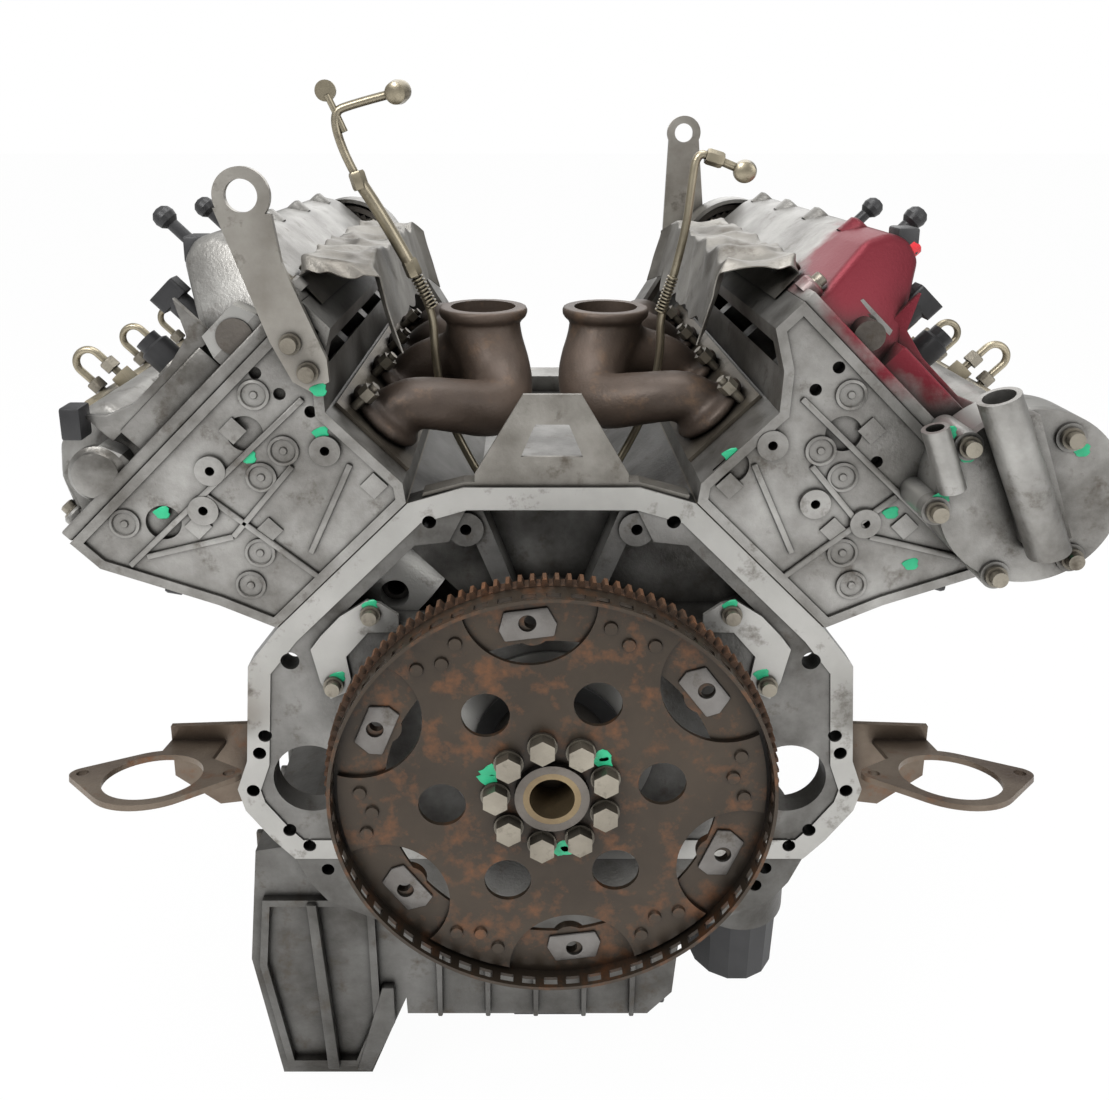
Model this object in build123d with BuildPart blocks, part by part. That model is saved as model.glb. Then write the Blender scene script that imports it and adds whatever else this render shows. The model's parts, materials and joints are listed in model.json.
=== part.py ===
"""V8 long engine: 90 degree banks, exhaust side inboard, seen from its flexplate end.

Frame in millimetres: origin on the crank axis in the bellhousing joint face, +X to the
right seen from the flexplate, +Y towards the engine's front, +Z up.
"""
from build123d import *
from math import cos, pi, radians, sin, sqrt
import os

os.makedirs("parts", exist_ok=True)

# Driving dimensions: crank train
bore_radius = 44.5
piston_clearance = 0.1
bore_pitch = 98.0
bank_stagger = 20.0
cylinders_per_bank = 4
left_first_bore = 62.0
crank_radius = 44.15
rod_length = 138.5
main_radius = 32.5
main_half_width = 13.0
pin_radius = 27.0
pin_half_width = 20.0
shell_thickness = 2.5
running_gap = 0.05
split_gap = 0.05
axial_gap = 0.5
counterweight_radius = 72.0
crankcase_radius = 82.0
big_end_radius = 34.0
eye_half_width = 9.7
main_box_half_width = 76.0
main_box_depth = 70.0

# Driving dimensions: block and heads, measured along each bank's axis and across it
deck_height = 213.0
head_height = 150.0
deck_inner = 67.0
deck_outer = 72.0
head_inner = 123.0
head_outer = 127.0
gasket_thickness = 1.2
block_length = 440.0
skirt_half_width = 132.0
sump_joint = -101.0
bell_thickness = 18.0
bell_top = 210.0
bell_top_half_width = 63.0
valley_floor = 158.0
upper_recess_depth = 30.0
seal_recess_depth = 8.0
bell_bolt_radius = 5.1
dowel_radius = 7.0
dowel_x = 194.5
dowel_z = 72.0
bell_holes = [(88, 183.5), (217, 9), (222, -6), (229, -39), (203, -75), (188, -89)]
starter_radius = 29.0
starter_x = 184.0
starter_z = -29.0

# Driving dimensions: camshafts and timing drive
cam_height = 381.0
intake_cam_offset = 74.0
exhaust_cam_offset = -70.0
cam_journal_radius = 13.0
cam_core_radius = 11.0
cam_base_radius = 17.0
cam_lift = 8.0
cam_width = 13.0
crank_sprocket_radius = 24.0
cam_sprocket_radius = 48.0
sprocket_width = 8.0
chain_thickness = 6.0
chain_gap = 0.4
timing_depth = 42.0
cover_wall = 4.0

# Driving dimensions: timing drive and engine front
exhaust_face = -76.0
cam_nose_radius = 6.0
cam_rear_end = 6.0
cam_front_end = 466.0
crank_sprocket_teeth = 19
sprocket_tooth_depth = 3.0
cover_growth = 14.0
front_seal_radius = 32.0
damper_radius = 82.0
timing_centre = [
    (0, 176),
    (62, 176),
    (140, 120),
    (140, 0),
    (132, -101),
    (0, -101),
]

# Driving dimensions: flexplate
flexplate_rear = -55.0
flexplate_thickness = 3.0
flexplate_radius = 152.0
rim_radius = 157.5
rim_wall = 2.5
rim_near_edge = -66.5
rim_far_edge = -38.0
pan_thickness = 2.5
pan_inner_radius = 119.0
ring_gear_radius = 162.5
ring_gear_teeth = 120
ring_gear_width = 10.0
scallop_centre = 150.0
scallop_radius = 47.0
lightening_circle = 78.5
lightening_radius = 17.0
arm_angle = 6.3
arm_count = 6
converter_circle = 134.0
converter_hole_radius = 5.1
flange_bolt_circle = 40.0
flange_bolt_count = 9
flange_bolt_angle = 100.0
flange_bolt_radius = 5.9
spigot_radius = 26.5
pilot_radius = 16.0
pilot_bush_radius = 20.5
slot_count = 60
slot_length = 10.0
slot_height = 6.0
rivet_radius = 3.4

# Driving dimensions: cylinder head and cam cover outlines, as distance across and height up the bank
cam_floor = 322.0
cam_saddle_half = 22.0
cam_bearing_width = 16.0
cam_cap_height = 16.0
exhaust_bay = (-112.0, -30.0)
intake_bay = (38.0, 116.0)
cover_top = 453.0
trough_height = 396.0
chamber_depth = 6.0
plug_radius = 11.0

# Driving dimensions: sump, oil filter and vacuum pump
sump_wall = 5.0
sump_pan_bottom = -268.0
sump_deep_bottom = -330.0
sump_deep_length = 190.0
sump_flange_thickness = 14.0
filter_x = 166.0
filter_y = 80.0
filter_radius = 43.0
filter_cap_radius = 39.0
filter_top = -110.0
filter_split = -206.0
filter_bottom = -264.0
pump_radius = 62.0
pump_depth = 30.0
pump_cover_thickness = 7.0
pump_shaft_hole = 9.0

# Driving dimensions: exhaust side
port_height = 262.0
manifold_gasket = 3.0
exhaust_port_radius = 16.0
port_flange_thickness = 11.0
log_height = 268.0
log_offset = -128.0
log_radius = 25.0
runner_radius = 20.0
outlet_radius = 27.0
outlet_flange_radius = 37.0
shield_sheet = 1.6
shield_length = 300.0
shield_from = {-1: 22.0, 1: 42.0}
eye_sheet = 5.0
eye_spacer = 4.0
rear_eye_bolts = [(-178, 317), (-167, 297)]
front_eye_bolts = [(162, 318), (176, 345)]
left_line_y = 100.0
right_line_y = 116.0

# Driving dimensions: fuel pipes, caps and brackets
rail_height = 432.0
rail_offset = 105.0
rail_radius = 8.5
fuel_nut_offset = 83.0
fuel_line_rows = {-1: [160, 258, 356], 1: [180, 278, 376]}
vent_spots = [(-1, (120, 218), 491, -61), (1, (140, 238), 485, -64)]
bracket_sheet = 4.0
bracket_tilt = 12.0
bracket_ring_x = 287.0
bracket_ring_y = -42.0
bracket_ring_z = 5.0
bracket_ring_radius = 34.5

# Driving dimensions: crank ends, pistons and rods
seal_journal_radius = 45.0
crank_flange_radius = 50.0
crank_flange_front = -34.0
flexplate_front = flexplate_rear + flexplate_thickness
spigot_rear = -60.0
pilot_depth = -28.0
flange_bolt_depth = 20.0
nose_radius = 20.0
nose_end = 524.0
main_bolt_x = 52.0
main_bolt_radius = 5.5
piston_skirt = 22.0
compression_height = 30.0
piston_wall = 5.5
crown_thickness = 9.0
wrist_pin_radius = 11.0
wrist_pin_half = 32.0
small_end_radius = 17.0
small_end_half_width = 10.0

SQ = sqrt(2)
RIGHT = 1
LEFT = -1
deck = deck_height
head_top = deck_height + gasket_thickness + head_height
first_bore = {LEFT: left_first_bore, RIGHT: left_first_bore + bank_stagger}
bores = {s: [first_bore[s] + bore_pitch * k for k in range(cylinders_per_bank)] for s in (LEFT, RIGHT)}
pin_centres = [left_first_bore + bank_stagger / 2 + bore_pitch * k for k in range(cylinders_per_bank)]
main_centres = [pin_centres[0] - bore_pitch / 2 + bore_pitch * k for k in range(cylinders_per_bank + 1)]
throw_angles = [90, 0, 180, 270]
block_main_radius = main_radius + shell_thickness
chain_planes = {LEFT: block_length + 6, RIGHT: block_length + 6 + 12}


def bank_point(side, height, across):
    """x, z of a point at a height along a bank's axis and a distance across it, outboard positive."""
    return side * (height + across) / SQ, (height - across) / SQ


def bank_points(side, pairs):
    """Outline given as across, height pairs, turned into x, z."""
    return [bank_point(side, height, across) for across, height in pairs]


def cross_plane(y):
    """Plane square to the crank axis at y, drawn in x and z."""
    return Plane.XZ.offset(-y)


def bank_plane(side, y, height=0.0, across=0.0):
    """Plane square to a cylinder's axis; its local x points outboard across the bank."""
    x, z = bank_point(side, height, across)
    return Plane(origin=(x, y, z), x_dir=(side / SQ, 0, -1 / SQ), z_dir=(side / SQ, 0, 1 / SQ))


def slab(points, y_from, y_to, mode=Mode.ADD):
    """Outline in x and z, extruded along the engine."""
    with BuildSketch(cross_plane(y_from)) as profile:
        with BuildLine():
            Polyline(*points, close=True)
        make_face()
    extrude(profile.sketch, amount=y_from - y_to, mode=mode)


def round_bar(x, z, radius, y_from, y_to, mode=Mode.ADD, bore=0.0):
    """Round bar along the engine, hollow where a bore is given."""
    with BuildSketch(cross_plane(y_from)) as profile:
        with Locations((x, z)):
            Circle(radius)
            if bore:
                Circle(bore, mode=Mode.SUBTRACT)
    extrude(profile.sketch, amount=y_from - y_to, mode=mode)


def peg(origin, direction, radius, length, mode=Mode.ADD, bore=0.0):
    """Round peg from a point in any direction."""
    with BuildSketch(Plane(origin=origin, z_dir=direction)) as profile:
        Circle(radius)
        if bore:
            Circle(bore, mode=Mode.SUBTRACT)
    extrude(profile.sketch, amount=length, mode=mode)


def hexagon(origin, direction, across_flats, length, mode=Mode.ADD):
    """Hexagonal bar from a point in any direction."""
    with BuildSketch(Plane(origin=origin, z_dir=direction)) as profile:
        RegularPolygon(across_flats / 2, 6, major_radius=False)
    extrude(profile.sketch, amount=length, mode=mode)


def turned(origin, direction, profile):
    """Turned shape about a line from a point, its profile given as radius, height pairs."""
    seat = Plane(origin=origin, z_dir=direction)
    with BuildSketch(Plane(origin=origin, x_dir=seat.x_dir, z_dir=seat.y_dir * -1)) as section:
        with BuildLine():
            Polyline(*profile, close=True)
        make_face()
    revolve(section.sketch, axis=Axis(origin, direction))


def both_sides(half):
    """Outline drawn for the right half, from top centre to bottom centre, closed by its mirror image."""
    return half + [(-x, z) for x, z in reversed(half) if x]


def pipe(points, radius, bend):
    """Round pipe along straight runs joined by arcs."""
    with BuildLine() as line:
        FilletPolyline(*points, radius=bend)
    heading = tuple(b - a for a, b in zip(points[0], points[1]))
    with BuildSketch(Plane(origin=points[0], z_dir=heading)) as section:
        Circle(radius)
    sweep(section.sketch, path=line.line)


def save(builder, name):
    """Label a finished piece and write it."""
    builder.part.label = name
    export_step(builder.part, f"parts/{name}.step")


# Cylinder block: deep skirt, open valley, bell flange at the rear, four bores a side
block_half = [
    (0, valley_floor),
    (58, valley_floor),
    bank_point(RIGHT, deck, -deck_inner),
    bank_point(RIGHT, deck, deck_outer),
    bank_point(RIGHT, deck - 73, deck_outer),
    (skirt_half_width - 6, 10),
    (skirt_half_width, sump_joint + 18),
    (skirt_half_width, sump_joint),
    (0, sump_joint),
]
bell_half = [
    (0, bell_top),
    (bell_top_half_width, bell_top),
    bank_point(RIGHT, deck, -deck_inner),
    bank_point(RIGHT, deck, deck_outer),
    (226, 68),
    (232, -13),
    (241, -38),
    (236, -57),
    (216, -84),
    (200, sump_joint),
    (0, sump_joint),
]
recess_half = [
    (0, 192),
    (62, 192),
    (74, 168),
    (99, 165),
    (150, 114),
    (128, 104),
    (96, 104),
    (0, 128),
]
with BuildPart() as cylinder_block:
    slab(both_sides(block_half), 0, block_length)
    slab(both_sides(bell_half), 0, bell_thickness)
    slab([(-62, valley_floor - 2), (62, valley_floor - 2), (62, bell_top - 18), (-62, bell_top - 18)], 0, 45)
    slab(both_sides(recess_half), 0, upper_recess_depth, Mode.SUBTRACT)
    for side in (LEFT, RIGHT):
        slab([(side * 52, 196), (side * 68, 196), (side * 34, 112), (side * 20, 112)], 6, upper_recess_depth + 1)
        round_bar(side * 62, 176, 13, 3, upper_recess_depth + 1)
        round_bar(side * 62, 176, 4.2, 3, 24, Mode.SUBTRACT)
        round_bar(side * starter_x, starter_z, starter_radius, -1, bell_thickness + 1, Mode.SUBTRACT)
        round_bar(side * dowel_x, dowel_z, dowel_radius, -1, bell_thickness + 1, Mode.SUBTRACT)
        for x, z in bell_holes:
            round_bar(side * x, z, bell_bolt_radius, -1, bell_thickness + 1, Mode.SUBTRACT)
        for y in bores[side]:
            with BuildSketch(bank_plane(side, y, 70)) as bore_profile:
                Circle(bore_radius)
            extrude(bore_profile.sketch, amount=deck, mode=Mode.SUBTRACT)
    round_bar(0, 0, 80, -1, seal_recess_depth, Mode.SUBTRACT)
    for near, far in zip(main_centres[:-1], main_centres[1:]):
        bay = (near + main_half_width - axial_gap, far - main_half_width + axial_gap)
        round_bar(0, 0, crankcase_radius, *bay, Mode.SUBTRACT)
        slab([(-104, 0), (104, 0), (104, sump_joint - 1), (-104, sump_joint - 1)], *bay, Mode.SUBTRACT)
    box_from = main_centres[0] - main_half_width + axial_gap
    box_to = main_centres[-1] + main_half_width - axial_gap
    slab(
        [
            (-main_box_half_width, 0),
            (main_box_half_width, 0),
            (main_box_half_width, sump_joint - 1),
            (-main_box_half_width, sump_joint - 1),
        ],
        box_from,
        box_to,
        Mode.SUBTRACT,
    )
    round_bar(0, 0, block_main_radius, -1, block_length + 1, Mode.SUBTRACT)

save(cylinder_block, "cylinder_block")


# Main bearing caps, one under each bulkhead, with their bolts and split shells
with BuildPart() as main_bearing_caps:
    for y in main_centres:
        half = main_half_width - axial_gap
        slab(
            [
                (-main_box_half_width, 0),
                (main_box_half_width, 0),
                (main_box_half_width, -44),
                (48, -main_box_depth),
                (-48, -main_box_depth),
                (-main_box_half_width, -44),
            ],
            y - half,
            y + half,
        )
        round_bar(0, 0, block_main_radius, y - half - 1, y + half + 1, Mode.SUBTRACT)
        for x in (-main_bolt_x, main_bolt_x):
            peg((x, y, -main_box_depth - 1), (0, 0, 1), main_bolt_radius, main_box_depth + 2, Mode.SUBTRACT)

with BuildPart() as main_cap_bolts:
    for y in main_centres:
        for x in (-main_bolt_x, main_bolt_x):
            peg((x, y, -main_box_depth), (0, 0, 1), main_bolt_radius, main_box_depth)
            hexagon((x, y, -main_box_depth), (0, 0, -1), 15, 7)

with BuildPart() as main_bearing_shells:
    for y in main_centres:
        half = main_half_width - axial_gap
        for lower in (0, 180):
            with BuildSketch(cross_plane(y - half)) as shell_profile:
                Circle(block_main_radius)
                Circle(main_radius + running_gap, mode=Mode.SUBTRACT)
                with Locations((0, (block_main_radius + split_gap) * (-1 if lower else 1))):
                    Rectangle(4 * block_main_radius, 2 * block_main_radius, mode=Mode.INTERSECT)
            extrude(shell_profile.sketch, amount=-2 * half)

# Crankshaft: cross plane, four pins, five mains, a web and counterweight beside each pin
web_thickness = (bore_pitch / 2 - main_half_width) - pin_half_width


def throw(angle):
    """x, z of a crankpin at its angle from the right, measured towards the top."""
    return crank_radius * cos(radians(angle)), crank_radius * sin(radians(angle))


with BuildPart() as crankshaft:
    for y in main_centres:
        round_bar(0, 0, main_radius, y - main_half_width, y + main_half_width)
    for y, angle in zip(pin_centres, throw_angles):
        x, z = throw(angle)
        round_bar(x, z, pin_radius, y - pin_half_width, y + pin_half_width)
        for web in (y - pin_half_width - web_thickness, y + pin_half_width):
            with BuildSketch(cross_plane(web)) as web_profile:
                with Locations(Location((0, 0), angle)):
                    Circle(counterweight_radius)
                    with Locations((counterweight_radius - 8, 0)):
                        Rectangle(2 * counterweight_radius, 2 * counterweight_radius, mode=Mode.SUBTRACT)
                    with Locations((crank_radius / 2, 0)):
                        SlotCenterPoint((0, 0), (crank_radius / 2 - 5, 0), 2 * main_radius + 4)
            extrude(web_profile.sketch, amount=-web_thickness)
    round_bar(0, 0, seal_journal_radius, -8, seal_recess_depth - axial_gap)
    round_bar(0, 0, main_radius, seal_recess_depth - axial_gap, main_centres[0])
    round_bar(0, 0, crank_flange_radius, crank_flange_front, flexplate_front)
    round_bar(0, 0, seal_journal_radius, flexplate_front, 0)
    round_bar(0, 0, spigot_radius, spigot_rear, flexplate_front)
    round_bar(0, 0, nose_radius, main_centres[-1], nose_end)
    round_bar(0, 0, pilot_bush_radius, spigot_rear - 1, pilot_depth, Mode.SUBTRACT)
    for k in range(flange_bolt_count):
        a = radians(flange_bolt_angle + 360 / flange_bolt_count * k)
        round_bar(
            flange_bolt_circle * cos(a),
            flange_bolt_circle * sin(a),
            flange_bolt_radius,
            flexplate_front - 1,
            flexplate_front + flange_bolt_depth,
            Mode.SUBTRACT,
        )

with BuildPart() as pilot_bush:
    round_bar(0, 0, pilot_bush_radius, spigot_rear, pilot_depth, bore=pilot_radius)

front_seal_from = block_length + timing_depth - cover_wall - 4

with BuildPart() as crank_seals:
    round_bar(0, 0, 58, -5, seal_recess_depth - 1, bore=seal_journal_radius + running_gap)
    round_bar(0, 0, front_seal_radius, front_seal_from, front_seal_from + 8, bore=nose_radius + running_gap)

with BuildPart() as rear_seal_carrier:
    round_bar(0, 0, 80, -2, seal_recess_depth, bore=58)

# Flexplate: star disc riveted to a pan with a slotted rim; ring gear on the rim
def disc_positions(radius, count, start):
    """x, z positions on a circle about the crank axis."""
    return [
        (radius * cos(radians(start + 360 / count * k)), radius * sin(radians(start + 360 / count * k)))
        for k in range(count)
    ]


rivet_spots = []
for k in range(arm_count):
    arm = arm_angle + 60 * k
    for radius, turn in ((136, -7), (128.5, 0), (136, 7)):
        a = radians(arm + turn)
        rivet_spots.append((radius * cos(a), radius * sin(a)))
tab_angle = arm_angle + 30

with BuildPart() as flexplate_disc:
    with BuildSketch(cross_plane(flexplate_rear)) as disc_profile:
        Circle(flexplate_radius)
        Circle(spigot_radius + running_gap, mode=Mode.SUBTRACT)
        with Locations(*disc_positions(scallop_centre, arm_count, tab_angle)):
            Circle(scallop_radius, mode=Mode.SUBTRACT)
        with Locations(*disc_positions(lightening_circle, arm_count, arm_angle)):
            Circle(lightening_radius, mode=Mode.SUBTRACT)
        with Locations(*disc_positions(flange_bolt_circle, flange_bolt_count, flange_bolt_angle)):
            Circle(flange_bolt_radius + 0.3, mode=Mode.SUBTRACT)
        with Locations(*rivet_spots):
            Circle(rivet_radius, mode=Mode.SUBTRACT)
    extrude(disc_profile.sketch, amount=-flexplate_thickness)

with BuildPart() as flexplate_pan:
    pan_rear = flexplate_rear + flexplate_thickness
    round_bar(0, 0, rim_radius, pan_rear, pan_rear + pan_thickness, bore=pan_inner_radius)
    round_bar(0, 0, rim_radius, rim_near_edge, rim_far_edge, bore=rim_radius - rim_wall)
    with BuildSketch(cross_plane(pan_rear)) as tab_profile:
        with Locations(*disc_positions(converter_circle - 5, arm_count, tab_angle)):
            Circle(13)
    extrude(tab_profile.sketch, amount=-pan_thickness - 3)
    with BuildSketch(cross_plane(pan_rear - 1)) as hole_profile:
        with Locations(*disc_positions(converter_circle, arm_count, tab_angle)):
            Circle(converter_hole_radius)
        with Locations(*rivet_spots):
            Circle(rivet_radius)
    extrude(hole_profile.sketch, amount=-pan_thickness - 6, mode=Mode.SUBTRACT)
    slot_y = (rim_near_edge + flexplate_rear) / 2
    for k in range(slot_count):
        a = 2 * pi / slot_count * k
        slot_plane = Plane(
            origin=((rim_radius - 5) * cos(a), slot_y, (rim_radius - 5) * sin(a)),
            x_dir=(0, 1, 0),
            z_dir=(cos(a), 0, sin(a)),
        )
        with BuildSketch(slot_plane) as slot_profile:
            Rectangle(slot_height, slot_length)
        extrude(slot_profile.sketch, amount=8, mode=Mode.SUBTRACT)

tooth_root = ring_gear_radius - 4.5
with BuildPart() as ring_gear:
    tooth_points = []
    for k in range(ring_gear_teeth):
        for share, radius in ((0.0, tooth_root), (0.36, tooth_root), (0.52, ring_gear_radius), (0.82, ring_gear_radius)):
            a = 2 * pi / ring_gear_teeth * (k + share)
            tooth_points.append((radius * cos(a), radius * sin(a)))
    with BuildSketch(cross_plane(rim_far_edge - ring_gear_width)) as gear_profile:
        with BuildLine():
            Polyline(*tooth_points, close=True)
        make_face()
        Circle(rim_radius, mode=Mode.SUBTRACT)
    extrude(gear_profile.sketch, amount=-ring_gear_width)

with BuildPart() as flexplate_rivets:
    with BuildSketch(cross_plane(flexplate_rear)) as shank_profile:
        with Locations(*rivet_spots):
            Circle(rivet_radius)
    extrude(shank_profile.sketch, amount=-flexplate_thickness - pan_thickness)
    with BuildSketch(cross_plane(flexplate_rear)) as head_profile:
        with Locations(*rivet_spots):
            Circle(rivet_radius + 1.6)
    extrude(head_profile.sketch, amount=1.8, taper=20)

with BuildPart() as flexplate_bolts:
    for x, z in disc_positions(flange_bolt_circle, flange_bolt_count, flange_bolt_angle):
        round_bar(x, z, flange_bolt_radius, flexplate_rear, flexplate_front + flange_bolt_depth)
        round_bar(x, z, 10.6, flexplate_rear - 2, flexplate_rear)
        hexagon((x, flexplate_rear - 2, z), (0, -1, 0), 17, 7.5)

# Connecting rods: the eyes ride on the crankpins, the small ends stay with the pistons
rod_eyes = []
for y, angle in zip(pin_centres, throw_angles):
    x, z = throw(angle)
    with BuildPart() as rod_eye:
        for eye_y in (y - bank_stagger / 2, y + bank_stagger / 2):
            round_bar(x, z, big_end_radius, eye_y - eye_half_width, eye_y + eye_half_width, bore=pin_radius + running_gap)
    rod_eyes.append(rod_eye)


def wrist_pin_height(side, throw_angle):
    """Distance of a piston's pin from the crank axis, up its bank, at rest."""
    turn = radians(throw_angle - (45 if side == RIGHT else 135))
    return crank_radius * cos(turn) + sqrt(rod_length**2 - (crank_radius * sin(turn)) ** 2)


pin_heights = {
    s: [wrist_pin_height(s, angle) for angle in throw_angles] for s in (LEFT, RIGHT)
}

with BuildPart() as pistons:
    for side in (LEFT, RIGHT):
        for y, height in zip(bores[side], pin_heights[side]):
            with BuildSketch(bank_plane(side, y, height - piston_skirt)) as outer:
                Circle(bore_radius - piston_clearance)
            extrude(outer.sketch, amount=piston_skirt + compression_height)
            with BuildSketch(bank_plane(side, y, height - piston_skirt - 1)) as inner:
                Circle(bore_radius - piston_wall)
            extrude(inner.sketch, amount=piston_skirt + compression_height - crown_thickness + 1, mode=Mode.SUBTRACT)
            for near in (-1, 1):
                with BuildSketch(bank_plane(side, y, height - wrist_pin_radius - 5)) as boss:
                    with Locations((0, near * (bore_radius + small_end_half_width) / 2)):
                        Rectangle(2 * wrist_pin_radius + 10, bore_radius - small_end_half_width - 4)
                    Circle(bore_radius - piston_wall / 2, mode=Mode.INTERSECT)
                extrude(boss.sketch, amount=compression_height + wrist_pin_radius - crown_thickness + 6)
            x, z = bank_point(side, height, 0)
            round_bar(x, z, wrist_pin_radius, y - bore_radius - 1, y + bore_radius + 1, Mode.SUBTRACT)

with BuildPart() as wrist_pins:
    for side in (LEFT, RIGHT):
        for y, height in zip(bores[side], pin_heights[side]):
            x, z = bank_point(side, height, 0)
            round_bar(x, z, wrist_pin_radius, y - wrist_pin_half, y + wrist_pin_half, bore=7)

with BuildPart() as connecting_rods:
    for side in (LEFT, RIGHT):
        for y, height, angle in zip(bores[side], pin_heights[side], throw_angles):
            x, z = bank_point(side, height, 0)
            reach = (throw(angle)[0] - x, throw(angle)[1] - z)
            lean = Plane(origin=(x, y, z), x_dir=(0, 1, 0), z_dir=(reach[0], 0, reach[1]))
            shank = rod_length - big_end_radius - crank_radius - 6
            if height > deck / 2 + 20:
                with BuildSketch(lean) as shank_profile:
                    Rectangle(small_end_half_width, 24)
                extrude(shank_profile.sketch, amount=shank)
            round_bar(x, z, small_end_radius, y - small_end_half_width, y + small_end_half_width)
            round_bar(x, z, wrist_pin_radius, y - bore_radius, y + bore_radius, Mode.SUBTRACT)


# Cylinder heads: one a bank, deck face down the bank, camshaft bays open to the top
head_base = deck + gasket_thickness
head_outline = [
    (-deck_inner, head_base),
    (deck_outer, head_base),
    (88, 256),
    (head_outer, 336),
    (head_outer, head_top),
    (-head_inner, head_top),
    (-head_inner, 338),
    (-96, 322),
    (exhaust_face, 300),
    (exhaust_face, 226),
]
rear_bosses = {LEFT: [(-160, 238), (-249, 193), (-242, 223)], RIGHT: [(155, 242), (188, 198), (225, 183)]}
rear_holes = {LEFT: [(-206, 294), (-190, 279), (-169, 266)], RIGHT: [(198, 298), (183, 282), (230, 229)]}
core_plugs = {LEFT: [(-279, 183), (-216, 250)], RIGHT: [(127, 226), (205, 250)]}
boss_radius = 11.0
boss_height = 3.0
rear_thread_radius = 3.4
core_plug_radius = 13.0
core_plug_depth = 3.0
rear_pads = [(-60, 232), (18, 262), (52, 300), (-20, 330)]
pad_half = 7.0
cam_offsets = {"intake": intake_cam_offset, "exhaust": exhaust_cam_offset}
bearing_spots = {s: [y - bore_pitch / 2 for y in bores[s] + [bores[s][-1] + bore_pitch]] for s in (LEFT, RIGHT)}
bay_wall = 14.0


def make_head(side):
    """One cylinder head with its chambers, ports, plug wells and camshaft saddles."""
    with BuildPart() as head:
        slab(bank_points(side, head_outline), 0, block_length)
        for across, height in rear_pads:
            low, high = across - pad_half, across + pad_half
            pad = [(low, height), (high, height), (high, height + 2 * pad_half), (low, height + 2 * pad_half)]
            slab(bank_points(side, pad), -1.5, 0)
        for x, z in rear_bosses[side]:
            round_bar(x, z, boss_radius, -boss_height, 1)
            round_bar(x, z, rear_thread_radius, -boss_height - 1, 9, Mode.SUBTRACT)
        for x, z in rear_holes[side]:
            round_bar(x, z, rear_thread_radius + 1, -1, 9, Mode.SUBTRACT)
        for x, z in core_plugs[side]:
            round_bar(x, z, core_plug_radius, -1, core_plug_depth, Mode.SUBTRACT)
        for inner, outer in (exhaust_bay, intake_bay):
            corners = [(inner, cam_floor), (outer, cam_floor), (outer, head_top + 1), (inner, head_top + 1)]
            slab(bank_points(side, corners), bay_wall, block_length - bay_wall, Mode.SUBTRACT)
        for across in cam_offsets.values():
            for y in bearing_spots[side]:
                low, high = across - cam_saddle_half, across + cam_saddle_half
                corners = [(low, cam_floor), (high, cam_floor), (high, cam_height), (low, cam_height)]
                half = cam_bearing_width / 2
                slab(bank_points(side, corners), y - half, y + half)
            x, z = bank_point(side, cam_height, across)
            round_bar(x, z, cam_journal_radius + running_gap, -1, block_length + 1, Mode.SUBTRACT)
        for y in bores[side]:
            with BuildSketch(bank_plane(side, y, head_base - 1)) as chamber:
                Circle(bore_radius - 1)
            extrude(chamber.sketch, amount=chamber_depth + 1, mode=Mode.SUBTRACT, taper=20)
            with BuildSketch(bank_plane(side, y, head_base)) as well:
                Circle(plug_radius)
            extrude(well.sketch, amount=head_height + 1, mode=Mode.SUBTRACT)
            port_plane = Plane(
                origin=port_origin(side, y),
                x_dir=(0, 1, 0),
                z_dir=port_direction(side),
            )
            with BuildSketch(port_plane) as port:
                RectangleRounded(46, 34, 14)
            extrude(port.sketch, amount=-55, mode=Mode.SUBTRACT)
            x, z = bank_point(side, port_height, exhaust_face - 1)
            peg((x, y, z), (side / SQ, 0, -1 / SQ), exhaust_port_radius, 40, Mode.SUBTRACT)
    return head


def port_origin(side, y):
    """Middle of an intake port's mouth on the outboard face."""
    x, z = bank_point(side, 298, 112)
    return x, y, z


def port_direction(side):
    """Outward normal of the outboard face between its two corners."""
    x_low, z_low = bank_point(side, 256, 88)
    x_high, z_high = bank_point(side, 336, head_outer)
    along_x, along_z = x_high - x_low, z_high - z_low
    return (-along_z, 0, along_x) if side == LEFT else (along_z, 0, -along_x)


heads = {side: make_head(side) for side in (LEFT, RIGHT)}

with BuildPart() as head_gaskets:
    for side in (LEFT, RIGHT):
        corners = [(-deck_inner, deck), (deck_outer, deck), (deck_outer, head_base), (-deck_inner, head_base)]
        slab(bank_points(side, corners), 0, block_length)
        for y in bores[side]:
            with BuildSketch(bank_plane(side, y, deck - 1)) as opening:
                Circle(bore_radius + 0.5)
            extrude(opening.sketch, amount=gasket_thickness + 2, mode=Mode.SUBTRACT)

# Camshafts, their caps and sprockets
lobe_offsets = (-18.0, 18.0)
valve_phase = {"intake": 0, "exhaust": 110}
firing_phase = [0, 270, 180, 90]


def lobe(x, z, y, turn):
    """One cam lobe: base circle and nose joined by tangents."""
    with BuildSketch(cross_plane(y - cam_width / 2)) as profile:
        with Locations(Location((x, z), turn)):
            Circle(cam_base_radius)
            with Locations((cam_lift + cam_base_radius - cam_nose_radius, 0)):
                Circle(cam_nose_radius)
        make_hull()
    extrude(profile.sketch, amount=-cam_width)


def toothed_wheel(x, z, radius, teeth, y, bore):
    """Flat toothed wheel about a line along the engine."""
    points = []
    for k in range(teeth):
        for share, r in ((0, radius), (0.5, radius - sprocket_tooth_depth)):
            a = 2 * pi / teeth * (k + share)
            points.append((x + r * cos(a), z + r * sin(a)))
    with BuildSketch(cross_plane(y)) as profile:
        with BuildLine():
            Polyline(*points, close=True)
        make_face()
        with Locations((x, z)):
            Circle(bore, mode=Mode.SUBTRACT)
    extrude(profile.sketch, amount=-sprocket_width)


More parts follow.
